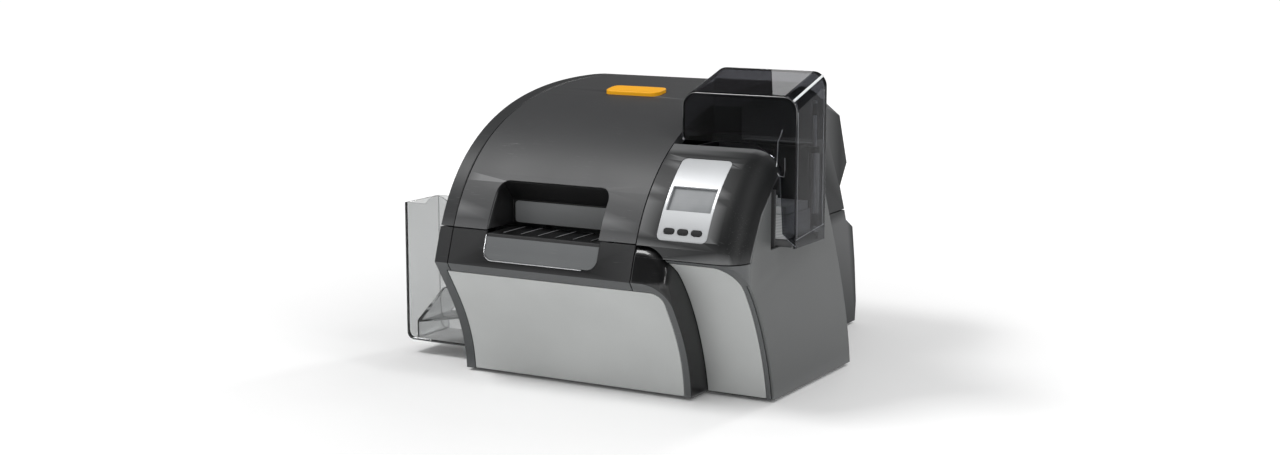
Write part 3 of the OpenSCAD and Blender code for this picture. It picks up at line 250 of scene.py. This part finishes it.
def moulded(name, colour, rough, grain=0.08, per_metre=2500.0, wear=0.15, rub=0.25, coat=0.0,
            metallic=0.0, shine=0.5):
    """A moulded or painted plastic; shine is the strength of its plain reflection."""
    made, tree, shader, _ = start_material(name)
    use_group(tree, shader, MOULDED, {
        "Colour": linear(colour), "Roughness": rough, "Grain per metre": per_metre,
        "Grain depth": grain, "Edge wear": wear, "Rub marks": rub})
    fill(tree, shader, {"Coat Weight": coat, "Coat Roughness": COAT_ROUGH, "Metallic": metallic,
                        "Specular IOR Level": shine})
    return made


def two_tone(name, low, high, height_mm, rough, grain=0.06, per_metre=2500.0):
    """A moulded plastic with one colour under a height and another above it."""
    made, tree, shader, place = start_material(name)
    up = node(tree, "ShaderNodeSeparateXYZ", {0: place}).outputs["Z"]
    over = worked(tree, "GREATER_THAN", up, height_mm * MM)
    use_group(tree, shader, MOULDED, {
        "Colour": mix_colour(tree, over, linear(low), linear(high)), "Roughness": rough,
        "Grain per metre": per_metre, "Grain depth": grain, "Edge wear": 0.12, "Rub marks": 0.2})
    fill(tree, shader, {"Specular IOR Level": 0.22})
    return made


def metal(name, colour, rough, lines=(40.0, 2500.0, 2500.0)):
    """A bare or plated metal; its lines run along the axis with the small number."""
    made, tree, shader, _ = start_material(name)
    use_group(tree, shader, METAL, {"Colour": linear(colour), "Roughness": rough,
                                    "Lines": lines, "Line depth": 0.15})
    fill(tree, shader, {"Metallic": 1.0})
    return made


def clear(name, tint, rough, ior, shine):
    """A transparent plastic, with a faint haze of fingerprints in its roughness."""
    made, tree, shader, place = start_material(name)
    haze = ranged(tree, noise(tree, place, 35.0, 3.0), (0.45, 0.75), (rough, rough + 0.03))
    fill(tree, shader, {"Base Color": linear(tint), "Transmission Weight": 1.0, "IOR": ior,
                        "Specular IOR Level": shine, "Roughness": haze})
    return made


def card_edges():
    """White cards: fine edges one above the other, with a light and a dark one here and there."""
    made, tree, shader, place = start_material("white_card")
    layers = node(tree, "ShaderNodeTexWave", {
        "Vector": place, "Scale": 1 / CARD_M / 20.0 * math.pi, "Distortion": 0.4, "Detail": 1.0},
        wave_type="BANDS", bands_direction="Z", wave_profile="SIN").outputs["Fac"]
    gaps = ranged(tree, layers, (0.0, 0.35), (1.0, 0.0))
    tone = mix_colour(tree, ranged(tree, noise(tree, place, 60.0), MIDDLE, (0.0, 0.25)),
                      linear((236, 237, 237)), linear((205, 208, 210)))
    fill(tree, shader, {
        "Base Color": mix_colour(tree, gaps, tone, linear((150, 154, 158))),
        "Roughness": ranged(tree, noise(tree, place, 90.0), MIDDLE, (0.3, 0.45)),
        "Normal": raised(tree, layers, 0.4, 0.0002)})
    return made


def rubber(name, colour, rough=0.7, depth=0.35, per_metre=1600.0):
    """Ground roller rubber or a moulded foot: matt, with an even fine tooth and dusty patches."""
    made, tree, shader, place = start_material(name)
    dust = ranged(tree, noise(tree, place, 45.0, 4.0), (0.5, 0.8), (0.0, 0.35))
    tooth = noise(tree, place, per_metre, 3.0, 0.7)
    fill(tree, shader, {
        "Base Color": mix_colour(tree, dust, linear(colour), linear((150, 148, 144))),
        "Roughness": ranged(tree, tooth, (0.2, 0.8), (rough - 0.08, rough + 0.12)),
        "Normal": raised(tree, tooth, depth, 0.0004)})
    return made


def wound(name, colour, centre_mm):
    """Film or ribbon on a spool: rings of its turns round the spool's axis, slightly glossy."""
    made, tree, shader, place = start_material(name)
    x, z = centre_mm
    where = node(tree, "ShaderNodeMapping", {
        "Vector": place, "Location": (-(x + X_SHIFT_MM) * MM, 0.0, -z * MM)}).outputs[0]
    flat = node(tree, "ShaderNodeVectorMath", {0: where, 1: (1.0, 0.0, 1.0)},
                operation="MULTIPLY").outputs[0]
    radius = node(tree, "ShaderNodeVectorMath", {0: flat}, operation="LENGTH").outputs["Value"]
    ring = worked(tree, "PINGPONG", worked(tree, "MULTIPLY", radius, TURNS_PER_M), 1.0)
    fill(tree, shader, {
        "Base Color": mix_colour(tree, ranged(tree, ring, FULL, (0.0, 0.5)), linear(colour),
                                 linear(tuple(v * 0.45 for v in colour))),
        "Roughness": ranged(tree, noise(tree, place, 70.0), MIDDLE, (0.18, 0.34)),
        "Normal": raised(tree, ring, 0.3, 0.0002)})
    return made


def circuit_board():
    """Solder-masked board: copper tracks under green lacquer and small tinned pads."""
    made, tree, shader, place = start_material("circuit_board")
    cells = node(tree, "ShaderNodeTexVoronoi",
                 {"Vector": place, "Scale": 260.0, "Randomness": 0.75},
                 distance="CHEBYCHEV", feature="F1").outputs["Distance"]
    steps = node(tree, "ShaderNodeTexVoronoi",
                 {"Vector": place, "Scale": 170.0, "Randomness": 0.6},
                 distance="MANHATTAN", feature="DISTANCE_TO_EDGE").outputs["Distance"]
    tracks = ranged(tree, steps, (0.02, 0.05), (1.0, 0.0))
    pads = ranged(tree, cells, (0.1, 0.13), (1.0, 0.0))
    lacquer = mix_colour(tree, tracks, linear((22, 84, 48)), linear((52, 128, 74)))
    fill(tree, shader, {
        "Base Color": mix_colour(tree, pads, lacquer, linear((196, 198, 196))),
        "Metallic": pads,
        "Roughness": ranged(tree, noise(tree, place, 300.0), MIDDLE, (0.25, 0.4)),
        "Normal": raised(tree, tracks, 0.3, 0.0003)})
    return made


def display():
    """Switched-off liquid crystal: a cloudy grey field with a fine lattice of dots."""
    made, tree, shader, place = start_material("display_glass")
    cloud = noise(tree, place, 30.0)
    dots = node(tree, "ShaderNodeTexVoronoi",
                {"Vector": place, "Scale": 1600.0, "Randomness": 0.0}).outputs["Distance"]
    tone = mix_colour(tree, ranged(tree, cloud, MIDDLE, FULL), linear((134, 136, 138)),
                      linear((122, 125, 127)))
    fill(tree, shader, {
        "Base Color": mix_colour(tree, ranged(tree, dots, (0.2, 0.5), (0.12, 0.0)), tone,
                                 linear((70, 74, 78))),
        "Roughness": ranged(tree, cloud, MIDDLE, (0.3, 0.4)),
        "Specular IOR Level": 0.15})
    return made


# Spools: colour of what is wound on them and their axis (x, z) in mm
WINDINGS = {"film_supply_spool": ((91, 106, 134), (-296.0, 100.0)),
            "film_takeup_spool": ((91, 106, 134), (-296.0, 46.0)),
            "ribbon_supply_spool": ((122, 75, 99), (-150.0, 100.0)),
            "ribbon_takeup_spool": ((122, 75, 99), (-150.0, 46.0))}
FINISH = {
    "two_tone": two_tone("band_over_rim", (70, 72, 73), (13, 13, 14), BAND_Z, 0.3),
    "tray": two_tone("lip_under_shelf", (94, 96, 97), (15, 15, 16), 157.0, 0.45, 0.4, 1200.0),
    # painted shade: dark lines where the smoked cover's clear edges look dark
    "edge_shade_dark": moulded("painted_dark_edge_shade", (12, 12, 13), 0.2, grain=0.02, coat=0.3, rub=0.05),
    # painted highlight: white lines standing for light caught on the smoked cover's edges
    "highlight_white": moulded("painted_highlight_white", (226, 228, 230), 0.2, grain=0.02, coat=0.3, rub=0.02),
    # painted shade: grey lines where the clear bin's edges look dark
    "edge_shade_grey": moulded("painted_grey_edge_shade", (80, 82, 82), 0.25, grain=0.02, rub=0.05),
    "cover": moulded("satin_cover_grey", (30, 31, 33), 0.54, grain=0.05, shine=0.7),
    "dark_casing": moulded("satin_charcoal", (28, 29, 30), 0.4, grain=0.06, shine=0.3),
    "grey_casing": moulded("satin_grey", (20, 21, 22), 0.5, grain=0.05, shine=0.3),
    "side": moulded("satin_side_grey", (74, 76, 76), 0.42, grain=0.08, shine=0.5),
    "rim": moulded("satin_rim_grey", (76, 78, 79), 0.4, grain=0.06),
    "black_casing": moulded("gloss_black", (13, 13, 14), 0.32, grain=0.02, coat=0.4,
                            rub=0.05, shine=0.25),
    "textured_black": moulded("textured_black", (15, 15, 16), 0.5, grain=0.5,
                              per_metre=1100.0, rub=0.1),
    "textured_grey": moulded("textured_grey", (122, 124, 125), 0.45, grain=0.35,
                             per_metre=1300.0, rub=0.1),
    "silver_paint": moulded("silver_paint", (183, 185, 184), 0.42, grain=0.12,
                            per_metre=4200.0, wear=0.05, rub=0.08, metallic=0.25),
    "bezel_silver": moulded("bezel_silver", (186, 188, 190), 0.36, grain=0.05,
                            per_metre=4200.0, wear=0.1, rub=0.1, metallic=0.2, coat=0.3),
    "amber_plastic": moulded("amber_plastic", (244, 172, 0), 0.45, grain=0.04, wear=0.05,
                             rub=0.02, shine=0.2),
    "smoked_clear": clear("smoked_clear", (148, 149, 153), 0.0, 1.15, 0.5),
    "clear_plastic": clear("clear_plastic", (222, 223, 223), 0.05, 1.3, 0.4),
    "display_glass": display(),
    "card_plastic": card_edges(),
    "weight": moulded("white_weight", (222, 224, 224), 0.4, grain=0.1, rub=0.15),
    "hopper_black": moulded("hopper_black", (13, 13, 14), 0.4, grain=0.1, shine=0.3),
    "rear_casing": moulded("matt_charcoal", (26, 27, 28), 0.55, grain=0.12, shine=0.08),
    "rubber_black": rubber("foot_rubber", (22, 22, 22)),
    "roller_rubber": rubber("roller_rubber", (40, 41, 42), 0.6, 0.25, 2600.0),
    "steel": metal("turned_steel", (190, 192, 194), 0.22, (2500.0, 40.0, 2500.0)),
    "sheet_steel": metal("sheet_steel", (170, 173, 175), 0.34),
    "board_green": circuit_board(),
    "clean_pink": rubber("cleaning_pink", (199, 127, 160), 0.45, 0.2, 1800.0),
    "brass_pulley": metal("turned_brass", (196, 160, 84), 0.3, (2500.0, 60.0, 2500.0)),
    "psu_alloy": metal("folded_alloy", (160, 162, 165), 0.4, (2500.0, 60.0, 60.0)),
    "button": moulded("button_black", (9, 9, 10), 0.3, grain=0.03, rub=0.05, shine=0.12),
    # painted highlight: a bright metal line standing for light caught on the rounded edge of the
    # shelf's lip
    "highlight_line": metal("painted_highlight_line", (225, 226, 228), 0.14),
}
for spool, (tone, axis_mm) in WINDINGS.items():
    FINISH["wound_" + spool] = wound("wound_" + spool, tone, axis_mm)


# ---------------------------------------------------------------- pieces from CAD copies
MERGE_M = 2e-6                  # points nearer than this are one
FLAT = math.radians(0.6)        # faces that turn less than this are joined
SHARP = math.radians(35.0)      # edges that turn more than this stay sharp and are rounded
PLAIN_BEVEL_MM = 0.3


def slot_of(name):
    """The record's material slot of a node."""
    return next(s["material_slot"] for s in frame["record"]["subparts"] if s["node"] == name)


def hopper_rounding(edge):
    """Share of the 5 mm rounding on an edge of the smoked cover: all of it round the front of
    its top, a little elsewhere."""
    y, z = ([v.co[k] / MM for v in edge.verts] for k in (1, 2))
    front = max(y) < COVER_Y[0] + 0.1 + Y_SHIFT_MM and min(z) > COVER_FOOT_Z + 1.0
    return 1.0 if front else 0.14


def finished_copy(name, bevel_mm, finish, rounding=None):
    """A copy of a CAD node with its seams merged, flat regions joined, smooth curves and
    rounded edges; it stands for the node and rides on its body. A rounding gives each sharp
    edge its share of the bevel."""
    work = bmesh.new()
    work.from_mesh(nodes[name].data)
    bmesh.ops.remove_doubles(work, verts=work.verts, dist=MERGE_M)
    bmesh.ops.dissolve_limit(work, angle_limit=FLAT, verts=work.verts, edges=work.edges)
    if rounding:
        weight = work.edges.layers.float.new("bevel_weight_edge")
        for edge in work.edges:
            if len(edge.link_faces) == 2 and edge.calc_face_angle() > SHARP:
                edge[weight] = rounding(edge)
    mesh = bpy.data.meshes.new(name + "_finished")
    work.to_mesh(mesh)
    work.free()
    mesh.materials.append(finish)
    mesh.shade_smooth()
    mesh.set_sharp_from_angle(angle=SHARP)
    piece = bpy.data.objects.new(name + "_finished", mesh)
    bpy.context.scene.collection.objects.link(piece)
    bevel = piece.modifiers.new("rounded edges", "BEVEL")
    bevel.width = bevel_mm * MM
    bevel.segments = 4 if rounding else 2
    bevel.limit_method = "WEIGHT" if rounding else "ANGLE"
    bevel.angle_limit = SHARP
    bevel.harden_normals = True
    even = piece.modifiers.new("even shading", "WEIGHTED_NORMAL")
    even.keep_sharp = True
    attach(piece, body_of_node[name])
    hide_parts(name)


# Width of the bevel on a node's edges where it isn't the plain one, and the finish of a node
# where it isn't the one of its material slot
BEVEL_MM = {"top_cover": 0.7, "left_lower_panel": 0.8, "left_upper_panel": 0.8,
            "tower_front_rim": 1.0, "tower_front_panel": 0.6,
            "tower_side_cover": 0.8, "control_housing": 0.5, "control_bezel": 0.5,
            "front_door": 0.7, "front_door_panel": 0.7, "latch_button": 1.6,
            "output_bin": 0.6, "rear_upper_shell": 0.8, "hopper_cover": 5.0,
            "rear_lower_shell": 0.8, "rubber_feet": 0.8, "card_weight": 0.6,
            "card_stack": 0.15, "display_window": 0.2, "rear_connectors": 0.25}
SPECIAL = {"hopper_base": "hopper_black", "rear_upper_shell": "rear_casing",
           "rear_lower_shell": "rear_casing",
           "top_cover": "cover", "tower_side_cover": "side", "tower_front_rim": "rim",
           "card_weight": "weight", "recess_plate": "textured_grey", "recess_tray": "tray",
           "front_door": "two_tone", "left_lower_panel": "two_tone",
           "button_left": "button", "button_middle": "button", "button_right": "button"}
SPECIAL.update({spool: "wound_" + spool for spool in WINDINGS})
BY_FORMULA = ("front_arch",)

for name in sorted(set(nodes) - set(BY_FORMULA)):
    finished_copy(name, BEVEL_MM.get(name, PLAIN_BEVEL_MM),
                  FINISH[SPECIAL.get(name, slot_of(name))],
                  rounding=hopper_rounding if name == "hopper_cover" else None)


# ---------------------------------------------------------------- surfaces from formulas
SMOOTH = math.radians(38)       # a formula's surface is smooth over edges that turn less
EMPTY_M = 1e-7                  # edges shorter than this are taken out


def surface(name, grids, finishes, node_name=None, body=None, closed_u=False, wall_mm=0.0):
    """One mesh from grids of points in mm; each grid is (rows, columns, 3) and has the finish
    at its place in the list. A wall in mm goes inwards from the side that its faces look to."""
    points, faces, marks = [], [], []
    start = 0
    for g, grid in enumerate(grids):
        rows, cols = grid.shape[:2]
        points.append(at_mm(grid.reshape(-1, 3)))
        wrap = cols if closed_u else cols - 1
        i, j = np.meshgrid(np.arange(rows - 1), np.arange(wrap), indexing="ij")
        k = (j + 1) % cols
        quads = np.stack([i * cols + j, i * cols + k, (i + 1) * cols + k, (i + 1) * cols + j], -1)
        faces.append(quads.reshape(-1, 4) + start)
        marks.append(np.full(quads.size // 4, g))
        start += rows * cols
    mesh = bpy.data.meshes.new(name)
    mesh.from_pydata(np.concatenate(points), [], np.concatenate(faces).tolist())
    for finish in finishes:
        mesh.materials.append(finish)
    mesh.polygons.foreach_set("material_index", np.concatenate(marks).astype(np.int32))
    work = bmesh.new()
    work.from_mesh(mesh)
    bmesh.ops.remove_doubles(work, verts=work.verts, dist=MERGE_M)
    bmesh.ops.dissolve_degenerate(work, edges=work.edges, dist=EMPTY_M)
    work.to_mesh(mesh)
    work.free()
    mesh.shade_smooth()
    mesh.set_sharp_from_angle(angle=SMOOTH)
    piece = bpy.data.objects.new(name, mesh)
    bpy.context.scene.collection.objects.link(piece)
    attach(piece, body or body_of_node[node_name])
    if body is None:
        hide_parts(node_name)
    if wall_mm:
        wall = piece.modifiers.new("wall", "SOLIDIFY")
        wall.thickness = wall_mm * MM
        wall.offset = -1.0
        wall.use_even_offset = False
    return piece


def tube(name, path_mm, radius_mm, finish, body, sides=8):
    """A round line: a circle carried along a path, square to the path at each point, and
    closed to a point at both ends."""
    path = np.asarray(path_mm, float)
    ahead = np.gradient(path, axis=0)
    ahead /= np.linalg.norm(ahead, axis=1)[:, None]
    across = np.cross(ahead, np.array([0.31, 0.17, 0.93]))
    across /= np.linalg.norm(across, axis=1)[:, None]
    third = np.cross(ahead, across)
    turn = np.linspace(0, 2 * np.pi, sides, endpoint=False)[None, :, None]
    ring = across[:, None] * np.cos(turn) + third[:, None] * np.sin(turn)
    grid = np.concatenate([np.repeat(path[:1, None], sides, 1),
                           path[:, None] + radius_mm * ring,
                           np.repeat(path[-1:, None], sides, 1)])
    piece = surface(name, [grid], [finish], body=body, closed_u=True)


def rounded_corner(centre, radius, start, stop, count):
    """Points of an arc round a centre in its plane, angles in degrees from the first axis."""
    turn = np.radians(np.linspace(start, stop, count))
    return np.stack([centre[0] + radius * np.cos(turn), centre[1] + radius * np.sin(turn)], -1)


# The main body's front in (y, z): a curve up to the brow, then straight to the cover's seam
FRONT_CURVE = ((-34, 3), (-38, 55), (-62, 85), (-90, 127))
FRONT_AT_SEAM = (-78.0, BELT_Z)


def body_front(z):
    """Y of the main body's front at a height: the low bezier up to the brow, then straight to
    the seam of the cover."""
    low = bezier(*FRONT_CURVE, np.linspace(0, 1, 60))
    line = np.concatenate([low, [FRONT_AT_SEAM]])
    return np.interp(z, line[:, 1], line[:, 0])


def along(outline, count):
    """An outline's points spread evenly over its length."""
    outline = np.asarray(outline, float)
    steps = np.linalg.norm(np.diff(outline, axis=0), axis=1)
    reach = np.concatenate([[0.0], np.cumsum(steps)])
    spots = np.linspace(0.0, reach[-1], count)
    return np.stack([np.interp(spots, reach, outline[:, k]) for k in (0, 1)], -1)


# Height and y of the rear edge of the arch's side wall
ARCH_REAR = np.array([(3.0, 24.0), (50.0, 18.0), (118.0, -12.0), (151.5, -52.0)])
# The arch's outlines: how far in from its side, height of the top, radius of the corner
ARCH_BROW = (1.2, 127.0, 26.0)
ARCH_SEAT = (8.4, 118.1, 12.6)
ARCH_R = 30.0           # radius of its outer corner
ARCH_CENTRE_Z = 101.0   # height of the centre of its rays
ARCH_ROUNDING = (1.0, 11.0)     # radius of the rounding at the foot and at the shoulder
ROUNDING_Z = (75.0, 135.0)      # heights between which it widens
ARCH_WALL = 1.1


def front_arch():
    """Black arch right of the door: strips carried along its outline. The section runs from
    behind the side wall forward, round a rounding that widens from 1 mm at the foot to 11 mm
    at the shoulder, over a blend to the brow line and over the grey rim to the seat of the
    silver panel. Round the corner the points of all strips lie on rays from one centre."""
    top, left, right = BELT_Z - SEAM / 2, X_SEAM + SEAM / 2, X_ARCH
    centre_x = right - ARCH_R

    def path(inset, z, r):
        """Up the side, an inset in from it, to the centre's height, round a corner of radius r
        and left at height z."""
        x = right - inset
        side = np.stack([np.full(34, x), np.linspace(FOOT_Z, ARCH_CENTRE_Z, 34)], -1)
        bend = along(np.concatenate([[[x, ARCH_CENTRE_Z]],
                                     rounded_corner((x - r, z - r), r, 0, 90, 40),
                                     [[centre_x, z]]]), 400)
        angle = np.arctan2(bend[:, 1] - ARCH_CENTRE_Z, bend[:, 0] - centre_x)
        turn = np.linspace(0, np.pi / 2, 36)
        corner = np.stack([np.interp(turn, angle, bend[:, k]) for k in (0, 1)], -1)
        run = np.stack([np.linspace(centre_x, left, 12), np.full(12, z)], -1)
        return np.concatenate([side[:-1], corner, run[1:]])

    outer, brow, seat = path(0.0, top, ARCH_R), path(*ARCH_BROW), path(*ARCH_SEAT)
    (low, high), (small, large) = ROUNDING_Z, ARCH_ROUNDING
    share = np.clip((outer[:, 1] - low) / (high - low), 0, 1)
    gap = np.linalg.norm(brow - outer, axis=1)
    inward = (brow - outer) / gap[:, None]
    fillet = np.minimum(small + (large - small) * share ** 2 * (3 - 2 * share), 0.8 * gap)
    rear_y = np.interp(outer[:, 1], ARCH_REAR[:, 0], ARCH_REAR[:, 1])

    def strip(flat, behind):
        """The outline at its place in front: the body's front and a distance behind it."""
        return np.stack([flat[:, 0], body_front(flat[:, 1]) + behind, flat[:, 1]], -1)

    black = [strip(outer, (rear_y - body_front(outer[:, 1])) * (1 - k) + fillet * k)
             for k in np.linspace(0, 1, 4)]
    for turn in np.radians(np.linspace(11.25, 90, 8)):
        black.append(strip(outer + inward * (fillet * (1 - np.cos(turn)))[:, None],
                           fillet * (1 - np.sin(turn))))
    edge = outer + inward * fillet[:, None]
    black += [strip(edge * (1 - k) + brow * k, 0.0) for k in np.linspace(0, 1, 9)[1:]]
    grey = [strip(brow * (1 - k) + seat * k, 0.0) for k in np.linspace(0, 1, 5)]
    grey += [strip(seat, depth) for depth in (0.8, 4.0)]
    surface("arch_shoulder", [np.stack(black), np.stack(grey)],
            [FINISH["black_casing"], FINISH["rim"]], node_name="front_arch", wall_mm=ARCH_WALL)


EDGE_IN = 0.7           # from the smoked cover's side or top in to the middle of its edge lines
DEPTH_IN = 0.9          # from its front or back in to the same
# Points of the catch's wire and of the fold at the foot of the cover's front, in mm; both are
# drawn white as painted highlights
CATCH_HOOK = ((3.9, 3, 274.8), (2.4, 3, 269.8), (-0.8, 3, 262.7), (-0.7, 3, 254.8),
              (-1.6, 3, 241.9), (-2.6, 3, 234.9), (0.8, 3, 229.2), (6.2, 3, 228.6),
              (7.2, 3, 235.6), (7, 3, 247.4))
COVER_FOLD = ((4.8, 3, 171.8), (12.5, 3, 165.5), (19.2, 3, 160.4))


def upright(flat, y):
    """Points (x, z) as points (x, y, z) at one y, or at a y for each."""
    flat = np.asarray(flat, float)
    return np.stack([flat[:, 0], np.broadcast_to(y, len(flat)), flat[:, 1]], -1)


def hopper_lines():
    """Edges of the smoked cover: dark lines of painted shade round its front and back, and white
    lines of painted highlight along its right side, on its sprung catch and on the fold under it."""
    (left, right), r = COVER_X, COVER_R - EDGE_IN
    inset = {"front": DEPTH_IN, "rear": -DEPTH_IN}
    for end, y, top, low in zip(inset, COVER_Y, COVER_TOP, COVER_LOW):
        outline = np.concatenate([
            [[right - EDGE_IN, low]],
            rounded_corner((right - COVER_R, top - COVER_R), r, 0, 90, 10),
            rounded_corner((left + COVER_R, top - COVER_R), r, 90, 180, 10),
            [[left + EDGE_IN, COVER_FOOT_Z]]])
        # dark lines of painted shade along the edges at its front and back
        tube("hopper_shade_edge_" + end, upright(outline, y + inset[end]), 0.55,
             FINISH["edge_shade_dark"], "hopper_cover")
    side, crest = right - 1.1, right - 4.4
    front, back = COVER_Y[0] + 4.5, COVER_Y[1] - 5.5
    # Name, radius and path of each line of painted highlight
    lines = (("highlight_top", 1.3, ((crest, 3.5, 303.6), (crest, 71.0, 323.2))),
             ("highlight_low", 0.5, ((side, 4.5, 166.6), (side, 70.5, 173.4))),
             ("highlight_front", 0.4, ((side, front, 168.0), (side, front, 292.0))),
             ("highlight_rear", 0.4, ((side, back, 174.0), (side, back, 310.0))),
             ("hook", 0.45, CATCH_HOOK),
             ("fold", 0.45, COVER_FOLD))
    for name, radius, line in lines:
        tube("hopper_" + name, line, radius, FINISH["highlight_white"], "hopper_cover")


def bin_lines():
    """Grey lines of painted shade along the edges of the output bin, down its left side and along
    its floor.
    """
    (left, end), (low, rim) = BIN_X, BIN_Z
    corner = rounded_corner((left + BIN_R, low + BIN_R), BIN_R, 180, 270, 8)
    outline = np.concatenate([[[left, rim]], corner, [[end, low]]])
    for place, y in zip(("front", "rear"), BIN_Y):
        tube("bin_shade_edge_" + place, upright(outline, y), 0.6, FINISH["edge_shade_grey"], "output_bin")


RIBS = 6                # ribs on the shelf, the first one's place and their pitch
RIB_X = SHELF_X + 14.8
RIB_PITCH = 20.8


def shelf_lines():
    """A bright line of painted highlight round the left and lower edge of the shelf's lip, where
    its rounded edge catches light, and a bead on each rib.
    """
    lip = np.concatenate([[[SHELF_X - 0.3, 159.0]],
                          rounded_corner((SHELF_X + 11.0, 145.0), 11.3, 180, 270, 8),
                          [[-172.0, 133.7]]])
    tube("lip_highlight", upright(lip, body_front(lip[:, 1]) + 0.15), 0.6, FINISH["highlight_line"],
         "front_door")
    for k in range(RIBS):
        x = RIB_X + k * RIB_PITCH
        bead = ((x, -69.4, 160.5), (x, -55.0, 160.7), (x, -30.0, 160.7))
        tube("shelf_bead_%d" % k, bead, 0.45, FINISH["textured_grey"], "front_door",
             sides=6)


front_arch()
hopper_lines()
bin_lines()
shelf_lines()


# ---------------------------------------------------------------- studio
WHITE = (1.0, 1.0, 1.0, 1.0)
SKY_MATT = 0.5          # strength of the sky on matt surfaces
SKY_GLOSS = 0.1         # its strength in reflections
FLOOR_HALF_M = 30.0
# the floor's own light is low near the object as painted shade round it
FLOOR_GLOW_SHADED_NEAR = (0.04, 0.62)       # light of the floor itself, near the object and far off
GLOW_FROM_M = (0.35, 2.2)       # how far off these are
FLOOR_IN_GLOSS = 0.4    # share of that light in reflections
AIM_M = Vector((0.0, 0.0, 0.15))        # where the soft boxes point
# Soft boxes: degrees to the right of the front, degrees up, metres away, size in m, watts
SOFT_BOXES = (
    ("key_box", -50, 56, 2.4, (1.0, 0.45), 26.0),
    ("rear_box", -166, 38, 2.4, (0.9, 0.3), 2.4),
    ("right_strip", 72, 46, 2.0, (0.1, 1.3), 7.0),
    ("front_box", -28, 15, 2.6, (0.35, 0.25), 0.45),
    ("side_box", 60, 14, 1.8, (0.3, 0.6), 4.5),
    ("corner_box", 168, 32, 2.4, (0.35, 0.35), 11.0),
)
CAMERA_M = (1.0227, -1.84835, 0.492)
CAMERA_TURN = (math.radians(80.5), 0.0, math.radians(29.5))
SENSOR_MM = 36.0
LENS_MM = 54.28


def floor():
    """Pale floor with a little light of its own, more so far from the object; its dim light near
    the object is painted shade round it.
    """
    half = FLOOR_HALF_M
    mesh = bpy.data.meshes.new("floor")
    mesh.from_pydata([(-half, -half, 0), (half, -half, 0), (half, half, 0), (-half, half, 0)],
                     [], [(0, 1, 2, 3)])
    piece = bpy.data.objects.new("floor", mesh)
    bpy.context.scene.collection.objects.link(piece)
    made, tree, shader, place = start_material("pale_floor")
    far_off = node(tree, "ShaderNodeVectorMath", {0: place}, operation="LENGTH").outputs["Value"]
    # less light near the object: painted shade round it
    glow_shaded_near = ranged(tree, far_off, GLOW_FROM_M, FLOOR_GLOW_SHADED_NEAR)
    mirrored = node(tree, "ShaderNodeLightPath").outputs["Is Glossy Ray"]
    share = ranged(tree, mirrored, FULL, (1.0, FLOOR_IN_GLOSS))
    fill(tree, shader, {
        "Base Color": mix_colour(tree, ranged(tree, noise(tree, place, 3.0), MIDDLE, (0.0, 0.3)),
                                 (0.94, 0.94, 0.94, 1), (0.92, 0.92, 0.92, 1)),
        "Roughness": 0.55, "Specular IOR Level": 0.25, "Emission Color": WHITE,
        "Emission Strength": worked(tree, "MULTIPLY", glow_shaded_near, share)})
    mesh.materials.append(made)


def sky():
    """White sky: dim to a mirror, bright to matt surfaces and white behind the object."""
    world = bpy.data.worlds.new("sky")
    bpy.context.scene.world = world
    world.use_nodes = True
    tree = world.node_tree
    ray = node(tree, "ShaderNodeLightPath").outputs
    dim = worked(tree, "MULTIPLY_ADD", ray["Is Glossy Ray"], -SKY_MATT + SKY_GLOSS, SKY_MATT)
    seen = worked(tree, "MULTIPLY_ADD", ray["Is Camera Ray"], 1.0 - SKY_MATT, dim)
    fill(tree, tree.nodes["Background"], {"Color": WHITE, "Strength": seen})


def soft_boxes():
    """The lamps, each on a sphere round the place that it points to."""
    for name, turn, lift, away, size, power in SOFT_BOXES:
        data = bpy.data.lights.new(name, "AREA")
        data.shape = "RECTANGLE"
        data.size, data.size_y = size
        data.energy = power
        lamp = bpy.data.objects.new(name, data)
        turn, lift = math.radians(turn), math.radians(lift)
        lamp.location = AIM_M + away * Vector((math.sin(turn) * math.cos(lift),
                                               -math.cos(turn) * math.cos(lift),
                                               math.sin(lift)))
        lamp.rotation_euler = (AIM_M - lamp.location).to_track_quat("-Z", "Y").to_euler()
        lamp.visible_camera = False
        bpy.context.scene.collection.objects.link(lamp)


def camera():
    """The camera at the angle that the object is seen from."""
    data = bpy.data.cameras.new("camera")
    data.sensor_fit = "HORIZONTAL"
    data.sensor_width = SENSOR_MM
    data.lens = LENS_MM
    data.clip_end = 100.0
    made = bpy.data.objects.new("camera", data)
    made.location = CAMERA_M
    made.rotation_euler = CAMERA_TURN
    bpy.context.scene.collection.objects.link(made)
    bpy.context.scene.camera = made
    bpy.context.scene.view_settings.view_transform = "Standard"


floor()
sky()
soft_boxes()
camera()
